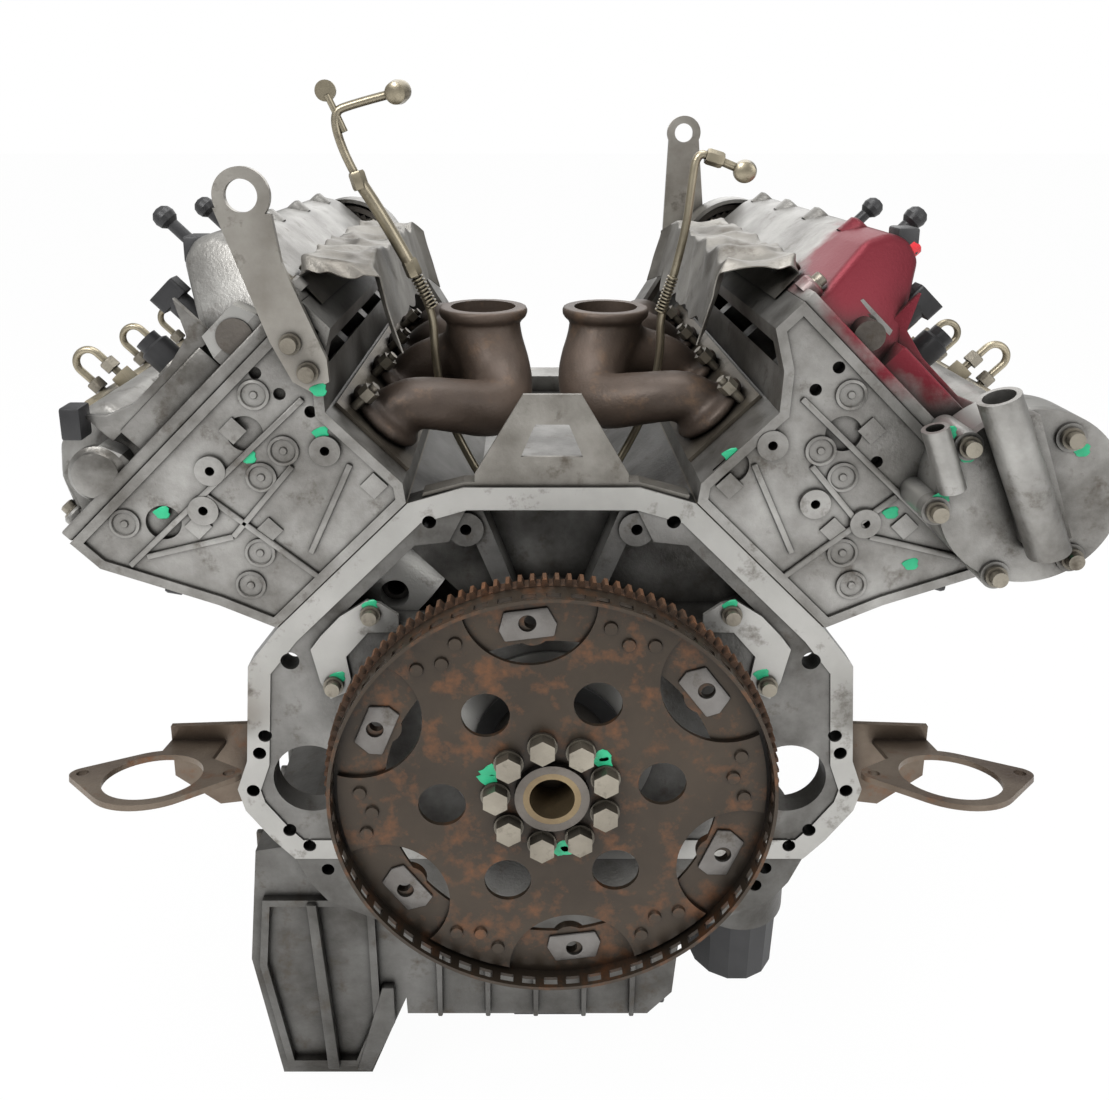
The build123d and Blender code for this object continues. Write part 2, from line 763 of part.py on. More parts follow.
def make_camshaft(side, kind):
    """Camshaft with five journals and two lobes a cylinder, and its sprocket and phaser drum."""
    x, z = bank_point(side, cam_height, cam_offsets[kind])
    sprocket_y = chain_planes[side]
    with BuildPart() as camshaft:
        round_bar(x, z, cam_core_radius, cam_rear_end, cam_front_end)
        for y in bearing_spots[side]:
            half = cam_bearing_width / 2
            round_bar(x, z, cam_journal_radius, y - half - 1, y + half + 1)
        for index, y in enumerate(bores[side]):
            turn = firing_phase[index] + valve_phase[kind] + (0 if side == RIGHT else 45)
            for shift in lobe_offsets:
                lobe(x, z, y + shift, turn)
        toothed_wheel(x, z, cam_sprocket_radius, 2 * crank_sprocket_teeth, sprocket_y, cam_core_radius - 1)
        round_bar(x, z, cam_sprocket_radius - 12, block_length + 2, sprocket_y)
    return camshaft


camshafts = {(s, kind): make_camshaft(s, kind) for s in (LEFT, RIGHT) for kind in cam_offsets}

with BuildPart() as cam_bearing_caps:
    for side in (LEFT, RIGHT):
        for across in cam_offsets.values():
            x, z = bank_point(side, cam_height, across)
            low, high = across - cam_saddle_half, across + cam_saddle_half
            top = cam_height + cam_cap_height
            corners = [(low, cam_height), (high, cam_height), (high - 6, top), (low + 6, top)]
            for y in bearing_spots[side]:
                half = cam_bearing_width / 2
                slab(bank_points(side, corners), y - half, y + half)
            round_bar(x, z, cam_journal_radius + running_gap, 0, block_length, Mode.SUBTRACT)

with BuildPart() as crank_sprockets:
    for side in (LEFT, RIGHT):
        toothed_wheel(0, 0, crank_sprocket_radius, crank_sprocket_teeth, chain_planes[side], nose_radius)


def chain_face(side, growth):
    """Convex loop round the crank sprocket and a bank's two cam sprockets."""
    with BuildSketch(cross_plane(chain_planes[side])) as face:
        Circle(crank_sprocket_radius + growth)
        for across in cam_offsets.values():
            with Locations(bank_point(side, cam_height, across)):
                Circle(cam_sprocket_radius + growth)
        make_hull()
    return face.sketch


with BuildPart() as timing_chains:
    for side in (LEFT, RIGHT):
        extrude(chain_face(side, chain_gap + chain_thickness), amount=-sprocket_width)
        extrude(chain_face(side, chain_gap), amount=-sprocket_width, mode=Mode.SUBTRACT)

with BuildPart() as timing_cover:
    for side in (LEFT, RIGHT):
        with BuildSketch(cross_plane(block_length)) as cover_face:
            Circle(crank_sprocket_radius + cover_growth)
            for across in cam_offsets.values():
                with Locations(bank_point(side, cam_height, across)):
                    Circle(cam_sprocket_radius + cover_growth)
            make_hull()
        extrude(cover_face.sketch, amount=-timing_depth)
    slab(both_sides(timing_centre), block_length, block_length + timing_depth)
    for side in (LEFT, RIGHT):
        with BuildSketch(cross_plane(block_length)) as cover_inside:
            Circle(crank_sprocket_radius + cover_growth - cover_wall)
            for across in cam_offsets.values():
                with Locations(bank_point(side, cam_height, across)):
                    Circle(cam_sprocket_radius + cover_growth - cover_wall)
            make_hull()
        extrude(cover_inside.sketch, amount=-(timing_depth - cover_wall), mode=Mode.SUBTRACT)
    round_bar(0, 0, front_seal_radius, block_length, block_length + timing_depth + 1, Mode.SUBTRACT)

with BuildPart() as crank_damper:
    damper_from = block_length + timing_depth + 6
    round_bar(0, 0, damper_radius, damper_from, damper_from + 26, bore=nose_radius)
    round_bar(0, 0, damper_radius - 12, damper_from + 18, damper_from + 27, Mode.SUBTRACT, bore=36)
    with BuildSketch(cross_plane(damper_from - 1)) as windows:
        with PolarLocations(46, 6):
            Circle(9)
    extrude(windows.sketch, amount=-30, mode=Mode.SUBTRACT)
    for groove in range(5):
        groove_y = damper_from + 3 + groove * 4
        round_bar(0, 0, damper_radius + 1, groove_y, groove_y + 1.8, Mode.SUBTRACT, bore=damper_radius - 2.5)

with BuildPart() as damper_bolt:
    hexagon((0, nose_end, 0), (0, 1, 0), 30, 14)
    round_bar(0, 0, 26, nose_end, nose_end + 4)

# Cam covers: tall over the exhaust side, a trough for the injectors, lower over the intake side
cover_outline = [
    (-head_inner, head_top),
    (-head_inner, head_top + 13),
    (-112, head_top + 20),
    (-110, 428),
    (-99, 446),
    (-84, cover_top),
    (-68, 448),
    (-52, 416),
    (-38, trough_height),
    (36, trough_height),
    (46, 418),
    (60, 426),
    (98, 423),
    (113, 404),
    (118, head_top + 14),
    (head_outer, head_top + 12),
    (head_outer, head_top),
]


def make_cam_cover(side):
    """Hollow cast cover with a flange, plug and injector wells and a front opening for the camshafts."""
    with BuildPart() as cover:
        slab(bank_points(side, cover_outline), 0, block_length)
        with BuildSketch(cross_plane(cover_wall)) as hollow:
            with BuildLine():
                Polyline(*bank_points(side, cover_outline), close=True)
            make_face()
            offset(amount=-cover_wall, kind=Kind.INTERSECTION, mode=Mode.REPLACE)
        extrude(hollow.sketch, amount=-(block_length - 2 * cover_wall), mode=Mode.SUBTRACT)
        for inner, outer in (exhaust_bay, intake_bay):
            corners = [(inner, head_top - 1), (outer, head_top - 1), (outer, head_top + 5), (inner, head_top + 5)]
            slab(bank_points(side, corners), cover_wall, block_length - cover_wall, Mode.SUBTRACT)
        for across in cam_offsets.values():
            x, z = bank_point(side, cam_height, across)
            round_bar(x, z, cam_journal_radius + 1, block_length - cover_wall - 1, block_length + 1, Mode.SUBTRACT)
        if side == RIGHT:
            x, z = bank_point(side, cam_height, intake_cam_offset)
            round_bar(x, z, pump_shaft_hole, -1, cover_wall + 1, Mode.SUBTRACT)
        for y in bores[side]:
            with BuildSketch(bank_plane(side, y, head_top)) as well_wall:
                Circle(plug_radius + 3)
            extrude(well_wall.sketch, amount=trough_height - head_top)
            with BuildSketch(bank_plane(side, y, head_top - 1)) as well:
                Circle(plug_radius)
            extrude(well.sketch, amount=trough_height - head_top + 2, mode=Mode.SUBTRACT)
    return cover


cam_covers = {side: make_cam_cover(side) for side in (LEFT, RIGHT)}


# Oil sump: cast pan under the skirt, deep well at the rear left, bell flange ears at the rear
sump_pan = [
    (-skirt_half_width, sump_joint),
    (skirt_half_width, sump_joint),
    (skirt_half_width, sump_joint - sump_flange_thickness),
    (112, sump_joint - 40),
    (104, sump_pan_bottom + 22),
    (84, sump_pan_bottom),
    (-118, sump_pan_bottom),
    (-124, sump_joint - 30),
    (-skirt_half_width, sump_joint - sump_flange_thickness),
]
sump_well = [
    (-118, sump_joint),
    (-200, sump_joint),
    (-236, sump_joint - 6),
    (-246, -212),
    (-226, sump_deep_bottom),
    (-150, sump_deep_bottom),
    (-131, -282),
    (-118, -250),
]
sump_ears_half = [
    (0, sump_joint),
    (200, sump_joint),
    (190, -124),
    (176, -142),
    (120, -168),
    (0, -176),
]
inner_pan = [
    (-104, sump_joint + 1),
    (104, sump_joint + 1),
    (98, sump_pan_bottom + 24),
    (82, sump_pan_bottom + sump_wall),
    (-110, sump_pan_bottom + sump_wall),
    (-112, sump_joint - 30),
]
inner_well = [
    (-108, -140),
    (-228, -118),
    (-239, -212),
    (-221, sump_deep_bottom + sump_wall),
    (-154, sump_deep_bottom + sump_wall),
    (-137, -280),
    (-112, -250),
]
ear_holes = [(-175, -112), (171, -111), (164, -127)]
sump_rear = 14.0
sump_front = block_length + timing_depth
well_front = sump_rear + sump_deep_length
drain_x = -188.0
drain_y = 130.0
drain_radius = 8.0
level_sensor_y = 22.0

with BuildPart() as oil_sump:
    slab(sump_pan, sump_rear, sump_front)
    slab(sump_well, sump_rear, well_front)
    slab(both_sides(sump_ears_half), 0, sump_rear)
    slab(inner_pan, sump_rear + sump_wall, sump_front - sump_wall, Mode.SUBTRACT)
    slab(inner_well, sump_rear + sump_wall, well_front - sump_wall, Mode.SUBTRACT)
    for x, z in ear_holes:
        round_bar(x, z, bell_bolt_radius, -1, sump_rear + 1, Mode.SUBTRACT)
    for rib_y in range(40, int(sump_deep_length), 36):
        rib = [(-243, -206), (-250, -206), (-232, sump_deep_bottom + 10), (-224, sump_deep_bottom + 10)]
        slab(rib, rib_y, rib_y + 6)
    for rib_x in (-92, -46, 0, 46):
        low, high = sump_pan_bottom - 6, sump_pan_bottom + 1
        rib = [(rib_x - 3, high), (rib_x + 3, high), (rib_x + 3, low), (rib_x - 3, low)]
        slab(rib, well_front, sump_front - 20)
    peg((drain_x, drain_y, sump_deep_bottom - 1), (0, 0, 1), drain_radius, sump_wall + 2, Mode.SUBTRACT)

with BuildPart() as oil_level_sensor:
    top, low = sump_pan_bottom, sump_pan_bottom - 10
    slab([(-34, top), (38, top), (32, low), (-28, low)], level_sensor_y, level_sensor_y + 60)

with BuildPart() as sump_drain_plug:
    peg((drain_x, drain_y, sump_deep_bottom), (0, 0, 1), drain_radius, sump_wall)
    hexagon((drain_x, drain_y, sump_deep_bottom), (0, 0, -1), 24, 6)

# Oil pump under the front main cap, with its pick-up pipe and strainer
with BuildPart() as oil_pump:
    pump_body_half = [
        (0, -main_box_depth),
        (40, -main_box_depth),
        (40, sump_joint - 2),
        (52, sump_joint - 12),
        (52, -176),
        (0, -176),
    ]
    slab(both_sides(pump_body_half), 403, 427)
    round_bar(0, -144, 34, 427, 456)
    pipe([(-30, 405, -150), (-30, 340, -150), (-70, 240, -215)], 10, 30)
    peg((-70, 240, -205), (0, 0, -1), 14, 24)
    peg((-70, 240, -226), (0, 0, -1), 30, 22)

# Oil filter: housing on the sump's right side, element inside, faceted screw cap below
with BuildPart() as oil_filter_housing:
    peg((filter_x, filter_y, filter_top), (0, 0, -1), filter_radius, filter_top - filter_split)
    slab([(108, -118), (150, -112), (150, -196), (100, -200)], filter_y - 26, filter_y + 26)
    bore_depth = filter_top - filter_split - 10
    peg((filter_x, filter_y, filter_split), (0, 0, 1), filter_radius - 5, bore_depth, Mode.SUBTRACT)
    slab(sump_pan, sump_rear, sump_front, Mode.SUBTRACT)

element_bottom = filter_split - 32

with BuildPart() as oil_filter_element:
    peg((filter_x, filter_y, element_bottom), (0, 0, 1), 30, 110, bore=12)

with BuildPart() as oil_filter_cap:
    with BuildSketch(Plane(origin=(filter_x, filter_y, filter_split), z_dir=(0, 0, -1))) as cap_outline:
        RegularPolygon(filter_cap_radius, 14)
    extrude(cap_outline.sketch, amount=filter_split - filter_bottom, taper=2)
    peg((filter_x, filter_y, filter_split - 1), (0, 0, 1), filter_radius - 5.1, 15)
    peg((filter_x, filter_y, element_bottom), (0, 0, 1), 33, 50, Mode.SUBTRACT)
    hexagon((filter_x, filter_y, filter_bottom), (0, 0, -1), 27, 12)

# Vacuum pump on the rear end of the right intake camshaft
pump_x, pump_z = bank_point(RIGHT, cam_height, intake_cam_offset)
pump_bolts = [(275, 254), (258, 208), (303, 161), (342, 260), (353, 174)]
pump_cover_rear = -pump_depth - pump_cover_thickness
rotor_radius = 34.0
rotor_chamber = 42.0

with BuildPart() as vacuum_pump_housing:
    round_bar(pump_x, pump_z, pump_radius, -pump_depth, 0)
    for x, z in pump_bolts:
        round_bar(x, z, 10, -pump_depth, 0)
    round_bar(pump_x, pump_z, rotor_chamber, -pump_depth - 1, -6, Mode.SUBTRACT)
    round_bar(pump_x, pump_z, pump_shaft_hole, -7, 1, Mode.SUBTRACT)
    for x, z in pump_bolts:
        round_bar(x, z, 3, -pump_depth - 1, -10, Mode.SUBTRACT)

with BuildPart() as vacuum_pump_cover:
    round_bar(pump_x, pump_z, pump_radius, pump_cover_rear, -pump_depth)
    tube_top = (pump_x - 36, pump_cover_rear - 12, pump_z + 74)
    tube_run = (46, 0, -108)
    stub_top = (pump_x - 71, pump_cover_rear - 3, pump_z + 50)
    stub_run = (32, 0, -86)
    peg(tube_top, tube_run, 14, 117)
    tube_web = [
        (tube_top[0] + 2, tube_top[2] - 12),
        (tube_top[0] + 28, tube_top[2] - 12),
        (pump_x + 24, pump_z - 24),
        (pump_x - 6, pump_z - 30),
    ]
    slab(tube_web, pump_cover_rear - 12, pump_cover_rear)
    peg(stub_top, stub_run, 9, 46)
    for x, z in pump_bolts:
        round_bar(x, z, 10, pump_cover_rear - 2, -pump_depth)
    peg(tube_top, tube_run, 10.5, 40, Mode.SUBTRACT)
    peg(stub_top, stub_run, 6, 16, Mode.SUBTRACT)
    round_bar(pump_x, pump_z, 100, -pump_depth, 0, Mode.SUBTRACT)
    for x, z in pump_bolts:
        round_bar(x, z, 3, pump_cover_rear - 30, -pump_depth + 1, Mode.SUBTRACT)
        round_bar(x, z, 8.5, pump_cover_rear - 40, pump_cover_rear - 2, Mode.SUBTRACT)

with BuildPart() as vacuum_pump_rotor:
    round_bar(pump_x, pump_z, rotor_radius, -28, -8)
    round_bar(pump_x, pump_z, 7, -9, cam_rear_end)
    for x, z in disc_positions(rotor_radius + 3, 3, 30):
        round_bar(pump_x + x, pump_z + z, 3.5, -28, -8)

# Exhaust manifolds in the valley: four runners meet a log that rises to one clamp flange
outlet_spot = {LEFT: (-54, 146, 314), RIGHT: (50, 166, 310)}
stud_shift = [(-23, 23), (23, -23)]
flange_seat = exhaust_face - manifold_gasket
nut_seat = flange_seat - port_flange_thickness


def inboard(side):
    """Unit vector from a head's exhaust face into the valley."""
    return (-side / SQ, 0, 1 / SQ)


def stud_spots(side, across):
    """Stud centres, two a port, on a plane a distance across the bank."""
    spots = []
    for y in bores[side]:
        for shift_y, shift_up in stud_shift:
            x, z = bank_point(side, port_height + shift_up, across)
            spots.append((x, y + shift_y, z))
    return spots


def make_manifold(side):
    """Cast manifold with port flanges, runners, log and an open clamp flange."""
    out_x, out_y, out_z = outlet_spot[side]
    log_x, log_z = bank_point(side, log_height, log_offset)
    first, last = bores[side][0], bores[side][-1]
    neck_z = out_z - 30
    neck_run = (out_x - log_x, 0, neck_z + 8 - log_z)
    with BuildPart() as manifold:
        runners = []
        for y in bores[side]:
            x, z = bank_point(side, port_height, flange_seat)
            with BuildSketch(Plane(origin=(x, y, z), x_dir=(0, 1, 0), z_dir=inboard(side))) as port_flange:
                RectangleRounded(64, 66, 12)
            extrude(port_flange.sketch, amount=port_flange_thickness)
            lean = 12 if y < out_y else -12
            runners.append(((x, y, z), (log_x - x, lean, log_z - z)))
        for origin, reach in runners:
            peg(origin, reach, runner_radius, 52)
        round_bar(log_x, log_z, log_radius, first - 4, last + 4)
        peg((log_x, out_y, log_z), neck_run, log_radius - 1, 44)
        peg((out_x, out_y, neck_z), (0, 0, 1), outlet_radius + 5, out_z - neck_z)
        peg((out_x, out_y, out_z - 7), (0, 0, 1), outlet_flange_radius, 7)
        behind = [
            (flange_seat, port_height - 60),
            (flange_seat + 30, port_height - 60),
            (flange_seat + 30, port_height + 60),
            (flange_seat, port_height + 60),
        ]
        slab(bank_points(side, behind), 0, block_length, Mode.SUBTRACT)
        for origin, reach in runners:
            peg(origin, reach, runner_radius - 5, 50, Mode.SUBTRACT)
        round_bar(log_x, log_z, log_radius - 5, first, last, Mode.SUBTRACT)
        peg((out_x, out_y, out_z + 1), (0, 0, -1), outlet_radius, 26, Mode.SUBTRACT)
        peg((log_x, out_y, log_z), neck_run, log_radius - 6, 44, Mode.SUBTRACT)
        peg((out_x, out_y, out_z), (0, 0, 1), 2 * outlet_radius, 20, Mode.SUBTRACT)
        for spot in stud_spots(side, flange_seat + 1):
            peg(spot, inboard(side), 4.2, 20, Mode.SUBTRACT)
    return manifold


manifolds = {s: make_manifold(s) for s in (LEFT, RIGHT)}

with BuildPart() as manifold_gaskets:
    for side in (LEFT, RIGHT):
        low, high = port_height - 36, port_height + 36
        corners = [(flange_seat, low), (exhaust_face, low), (exhaust_face, high), (flange_seat, high)]
        slab(bank_points(side, corners), bores[side][0] - 40, bores[side][-1] + 40)
        for y in bores[side]:
            x, z = bank_point(side, port_height, exhaust_face + 1)
            peg((x, y, z), inboard(side), exhaust_port_radius, 8, Mode.SUBTRACT)
        for spot in stud_spots(side, exhaust_face + 1):
            peg(spot, inboard(side), 4.2, 8, Mode.SUBTRACT)

with BuildPart() as manifold_nuts:
    for side in (LEFT, RIGHT):
        for spot in stud_spots(side, exhaust_face):
            peg(spot, inboard(side), 3.6, 27)
        for spot in stud_spots(side, nut_seat):
            hexagon(spot, inboard(side), 12, 9)

# Heat shields folded from sheet over the runners, each with a closed rear end
shield_fold = [(-123.8, 350), (-123.8, 380), (-135, 392), (-171, 357), (-140, 303)]
shield_end = [(-123, 350), (-123, 381), (-135, 392), (-171, 357), (-140, 303), (-102, 312)]

with BuildPart() as heat_shields:
    for side in (LEFT, RIGHT):
        start = shield_from[side]
        with BuildSketch(cross_plane(start)) as roof:
            with BuildLine() as fold:
                Polyline(*bank_points(side, shield_fold))
            trace(fold.line, shield_sheet)
        extrude(roof.sketch, amount=-shield_length)
        slab(bank_points(side, shield_end), start, start + shield_sheet)
        slab(bank_points(side, head_outline), 0, block_length, Mode.SUBTRACT)
        slab(bank_points(side, cover_outline), 0, block_length, Mode.SUBTRACT)

# Lifting eyes: rear left on the head's end face, front right on the timing cover
eye_rear_face = -eye_spacer - eye_sheet
eye_front_face = sump_front + eye_sheet
rear_eye = [
    (-186, 404),
    (-181, 372),
    (-154, 306),
    (-153, 290),
    (-166, 283),
    (-178, 290),
    (-192, 318),
    (-224, 408),
]
front_eye = [(146, 448), (180, 448), (190, 350), (176, 306), (152, 306), (142, 330)]

with BuildPart() as lifting_eyes:
    slab(rear_eye, eye_rear_face, -eye_spacer)
    round_bar(-205, 416, 19, eye_rear_face, -eye_spacer)
    round_bar(-205, 416, 11, eye_rear_face - 1, 0, Mode.SUBTRACT)
    for x, z in rear_eye_bolts:
        round_bar(x, z, 9, -eye_spacer, 0)
        round_bar(x, z, 4, eye_rear_face - 1, 1, Mode.SUBTRACT)
    slab(front_eye, sump_front, eye_front_face)
    round_bar(163, 453, 19, sump_front, eye_front_face)
    round_bar(163, 453, 10.5, sump_front - 1, eye_front_face + 1, Mode.SUBTRACT)
    for x, z in front_eye_bolts:
        round_bar(x, z, 4, sump_front - 1, eye_front_face + 1, Mode.SUBTRACT)

# Turbocharger oil feed lines: rigid pipes that stand up from the valley floor
left_line = [(-114, 485), (-163, 472), (-156, 440), (-110, 355), (-76, 312), (-56, 255), (-46, 210), (-46, 158)]
right_line = [(152, 426), (116, 440), (112, 392), (98, 345), (76, 312), (56, 255), (46, 210), (46, 158)]

with BuildPart() as oil_feed_lines:
    for line_y, path in ((left_line_y, left_line), (right_line_y, right_line)):
        pipe([(x, line_y, z) for x, z in path], 3.6, 9)
        eye_x, eye_z = path[0]
        peg((eye_x, line_y - 8, eye_z), (0, 1, 0), 8, 16)
        x, z = path[4]
        lower_x, lower_z = path[5]
        hexagon((x, line_y, z), (lower_x - x, 0, lower_z - z), 12, 14)

# Fuel rails along the intake sides, on feet that stand on the cam covers
with BuildPart() as fuel_rails:
    for side in (LEFT, RIGHT):
        x, z = bank_point(side, rail_height, rail_offset)
        first = fuel_line_rows[side][0] - 36
        last = fuel_line_rows[side][-1] + 24
        for y in (first + 12, (first + last) / 2, last - 12):
            foot_x, foot_z = bank_point(side, rail_height, rail_offset)
            peg((foot_x, y, foot_z), (-side / SQ, 0, -1 / SQ), 6, 30)
        slab(bank_points(side, cover_outline), 0, block_length, Mode.SUBTRACT)
        round_bar(x, z, rail_radius, first, last)

with BuildPart() as fuel_lines:
    for side in (LEFT, RIGHT):
        for y in fuel_line_rows[side]:
            run = [(fuel_nut_offset, 424), (fuel_nut_offset, 476), (rail_offset, 476), (rail_offset, rail_height + 5)]
            pipe([(x, y, z) for x, z in [(p[0], p[1]) for p in bank_points(side, run)]], 3.2, 10.9)
            x, z = bank_point(side, 420, fuel_nut_offset)
            hexagon((x, y, z), (side / SQ, 0, 1 / SQ), 17, 20)
        slab(bank_points(side, cover_outline), 0, block_length, Mode.SUBTRACT)
        x, z = bank_point(side, rail_height, rail_offset)
        round_bar(x, z, rail_radius, 0, block_length, Mode.SUBTRACT)

# Small parts on the cam covers
ball_cap = [(0, -60), (5, -60), (5, -8), (8, -4.5), (9, 0), (8, 4.5), (5, 7.6), (0, 9)]

with BuildPart() as vent_caps:
    for side, rows, height, across in vent_spots:
        for y in rows:
            x, z = bank_point(side, 428, across)
            turned((x, y, z), (side / SQ, 0, 1 / SQ), [(r, h + height - 428) for r, h in ball_cap])
        slab(bank_points(side, cover_outline), 0, block_length, Mode.SUBTRACT)

with BuildPart() as cover_sensors:
    for side, across, height in ((LEFT, -40, 444), (RIGHT, -41, 436)):
        x, z = bank_point(side, 392, across)
        peg((x, 60, z), (side / SQ, 0, 1 / SQ), 9, height - 402)
        x, z = bank_point(side, height - 12, across)
        with BuildSketch(bank_plane(side, 60, height - 12, across)) as plug_body:
            RectangleRounded(24, 17, 3)
        extrude(plug_body.sketch, amount=14)
        slab(bank_points(side, cover_outline), 0, block_length, Mode.SUBTRACT)

# Exhaust hanger brackets: a leaning ring plate carried by an upright plate on the bell flange
with BuildPart() as exhaust_brackets:
    for side in (LEFT, RIGHT):
        upright = [(216, -60), (262, -66), (296, -40), (296, 4), (216, 7)]
        slab([(side * x, z) for x, z in upright], bell_thickness, bell_thickness + bracket_sheet)
        tilt = radians(bracket_tilt)
        seat = Plane(
            origin=(side * bracket_ring_x, bracket_ring_y, bracket_ring_z),
            x_dir=(1, 0, 0),
            z_dir=(0, sin(tilt), cos(tilt)),
        )
        with BuildSketch(seat) as ring_plate:
            Circle(bracket_ring_radius + 8)
            with Locations((-53, 5), (53, 5)):
                Circle(9)
            make_hull()
            with Locations((-side * 12, 32)):
                Rectangle(42, 64)
            Circle(bracket_ring_radius, mode=Mode.SUBTRACT)
            with Locations((-53, 5), (53, 5)):
                Circle(4.3, mode=Mode.SUBTRACT)
        extrude(ring_plate.sketch, amount=-bracket_sheet)

# Valley bracket: a stamped upright on a strap across the bell's top
with BuildPart() as valley_bracket:
    strap = [
        (-93, 202),
        (-bell_top_half_width, bell_top),
        (bell_top_half_width, bell_top),
        (98, 200),
        (99, 203),
        (bell_top_half_width, bell_top + 3),
        (-bell_top_half_width, bell_top + 3),
        (-92, 205),
    ]
    slab(strap, 2, 16)
    slab(both_sides([(0, 278), (20.5, 278), (55, 219), (55, bell_top + 2), (0, bell_top + 2)]), 2, 5)
    slab(both_sides([(0, 256), (12, 256), (22, 232), (0, 232)]), 1, 6, Mode.SUBTRACT)
    slab(both_sides(bell_half), 0, bell_thickness, Mode.SUBTRACT)

# Machined cover plates on the block's rear face
plate_outline = [
    (170, 94),
    (155, 110),
    (135, 123),
    (125, 120.5),
    (112, 111),
    (112, 97.5),
    (135, 97),
    (152, 77),
    (149, 58),
    (154, 47),
    (165, 42),
    (172, 56),
    (178, 83),
]
plate_bolts = [(132.5, 112), (162, 54)]

with BuildPart() as cover_plates:
    for side in (LEFT, RIGHT):
        slab([(side * x, z) for x, z in plate_outline], -3, 0)
        for x, z in plate_bolts:
            round_bar(side * x, z, 4, -4, 1, Mode.SUBTRACT)

# Flange bolts of the outer pieces: round washer face and a domed head
flange_bolt_seats = [(x, z, pump_cover_rear - 2, -12) for x, z in pump_bolts]
flange_bolt_seats += [(x, z, eye_rear_face, 0) for x, z in rear_eye_bolts]
flange_bolt_seats += [(side * x, z, -3, 0) for side in (LEFT, RIGHT) for x, z in plate_bolts]

with BuildPart() as flange_bolts:
    for x, z, seat_y, tip in flange_bolt_seats:
        shank = 3 if tip < 0 else 4
        round_bar(x, z, shank, seat_y, tip)
        round_bar(x, z, 7.5, seat_y - 3, seat_y)
        round_bar(x, z, 5.5, seat_y - 8, seat_y - 3)
    for x, z in front_eye_bolts:
        round_bar(x, z, 4, sump_front, eye_front_face)
        round_bar(x, z, 7.5, eye_front_face, eye_front_face + 8)

# Every piece under its own name
sides = {LEFT: "left", RIGHT: "right"}
pieces = {
    "main_bearing_caps": main_bearing_caps,
    "main_cap_bolts": main_cap_bolts,
    "main_bearing_shells": main_bearing_shells,
    "crankshaft": crankshaft,
    "pilot_bush": pilot_bush,
    "crank_seals": crank_seals,
    "rear_seal_carrier": rear_seal_carrier,
    "flexplate_disc": flexplate_disc,
    "flexplate_pan": flexplate_pan,
    "ring_gear": ring_gear,
    "flexplate_rivets": flexplate_rivets,
    "flexplate_bolts": flexplate_bolts,
    "pistons": pistons,
    "wrist_pins": wrist_pins,
    "connecting_rods": connecting_rods,
    "head_gaskets": head_gaskets,
    "cam_bearing_caps": cam_bearing_caps,
    "timing_chains": timing_chains,
    "crank_sprockets": crank_sprockets,
    "timing_cover": timing_cover,
    "crank_damper": crank_damper,
    "damper_bolt": damper_bolt,
    "oil_sump": oil_sump,
    "oil_level_sensor": oil_level_sensor,
    "sump_drain_plug": sump_drain_plug,
    "oil_pump": oil_pump,
    "oil_filter_housing": oil_filter_housing,
    "oil_filter_element": oil_filter_element,
    "oil_filter_cap": oil_filter_cap,
    "vacuum_pump_housing": vacuum_pump_housing,
    "vacuum_pump_cover": vacuum_pump_cover,
    "vacuum_pump_rotor": vacuum_pump_rotor,
    "manifold_gaskets": manifold_gaskets,
    "manifold_nuts": manifold_nuts,
    "heat_shields": heat_shields,
    "lifting_eyes": lifting_eyes,
    "oil_feed_lines": oil_feed_lines,
    "fuel_rails": fuel_rails,
    "fuel_lines": fuel_lines,
    "vent_caps": vent_caps,
    "cover_sensors": cover_sensors,
    "exhaust_brackets": exhaust_brackets,
    "valley_bracket": valley_bracket,
    "cover_plates": cover_plates,
    "flange_bolts": flange_bolts,
}
for k, rod_eye in enumerate(rod_eyes, 1):
    pieces[f"rod_big_ends_{k}"] = rod_eye
for side, word in sides.items():
    pieces[f"cylinder_head_{word}"] = heads[side]
    pieces[f"cam_cover_{word}"] = cam_covers[side]
    pieces[f"exhaust_manifold_{word}"] = manifolds[side]
for (side, kind), camshaft in camshafts.items():
    pieces[f"{kind}_camshaft_{sides[side]}"] = camshaft
for name, builder in pieces.items():
    save(builder, name)
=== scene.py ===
"""V8 engine on a pale studio floor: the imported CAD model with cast, turned and rusted finishes."""

import json
import math

import bpy
from mathutils import Matrix, Vector
from mathutils import noise as ripple


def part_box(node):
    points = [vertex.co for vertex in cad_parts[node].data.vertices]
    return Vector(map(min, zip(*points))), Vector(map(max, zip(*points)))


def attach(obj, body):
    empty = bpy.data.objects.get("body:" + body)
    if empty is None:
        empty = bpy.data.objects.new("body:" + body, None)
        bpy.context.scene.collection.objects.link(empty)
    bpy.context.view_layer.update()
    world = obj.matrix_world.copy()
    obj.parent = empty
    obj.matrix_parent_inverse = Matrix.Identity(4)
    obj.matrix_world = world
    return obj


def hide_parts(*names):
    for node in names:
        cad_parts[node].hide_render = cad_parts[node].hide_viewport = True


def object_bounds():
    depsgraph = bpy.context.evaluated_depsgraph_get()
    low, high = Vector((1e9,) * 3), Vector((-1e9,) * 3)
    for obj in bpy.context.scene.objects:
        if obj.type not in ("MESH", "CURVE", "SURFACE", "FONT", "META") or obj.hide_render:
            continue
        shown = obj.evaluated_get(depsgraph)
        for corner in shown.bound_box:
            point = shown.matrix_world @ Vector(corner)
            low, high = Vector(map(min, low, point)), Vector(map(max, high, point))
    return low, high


bl_info = {
    "name": "V8 Engine",
    "version": (1, 0, 0),
    "blender": (4, 5, 0),
    "location": "View3D > Sidebar > Engine",
    "description": "Finishes and small parts of a V8 engine seen from its flexplate",
    "category": "Object",
}

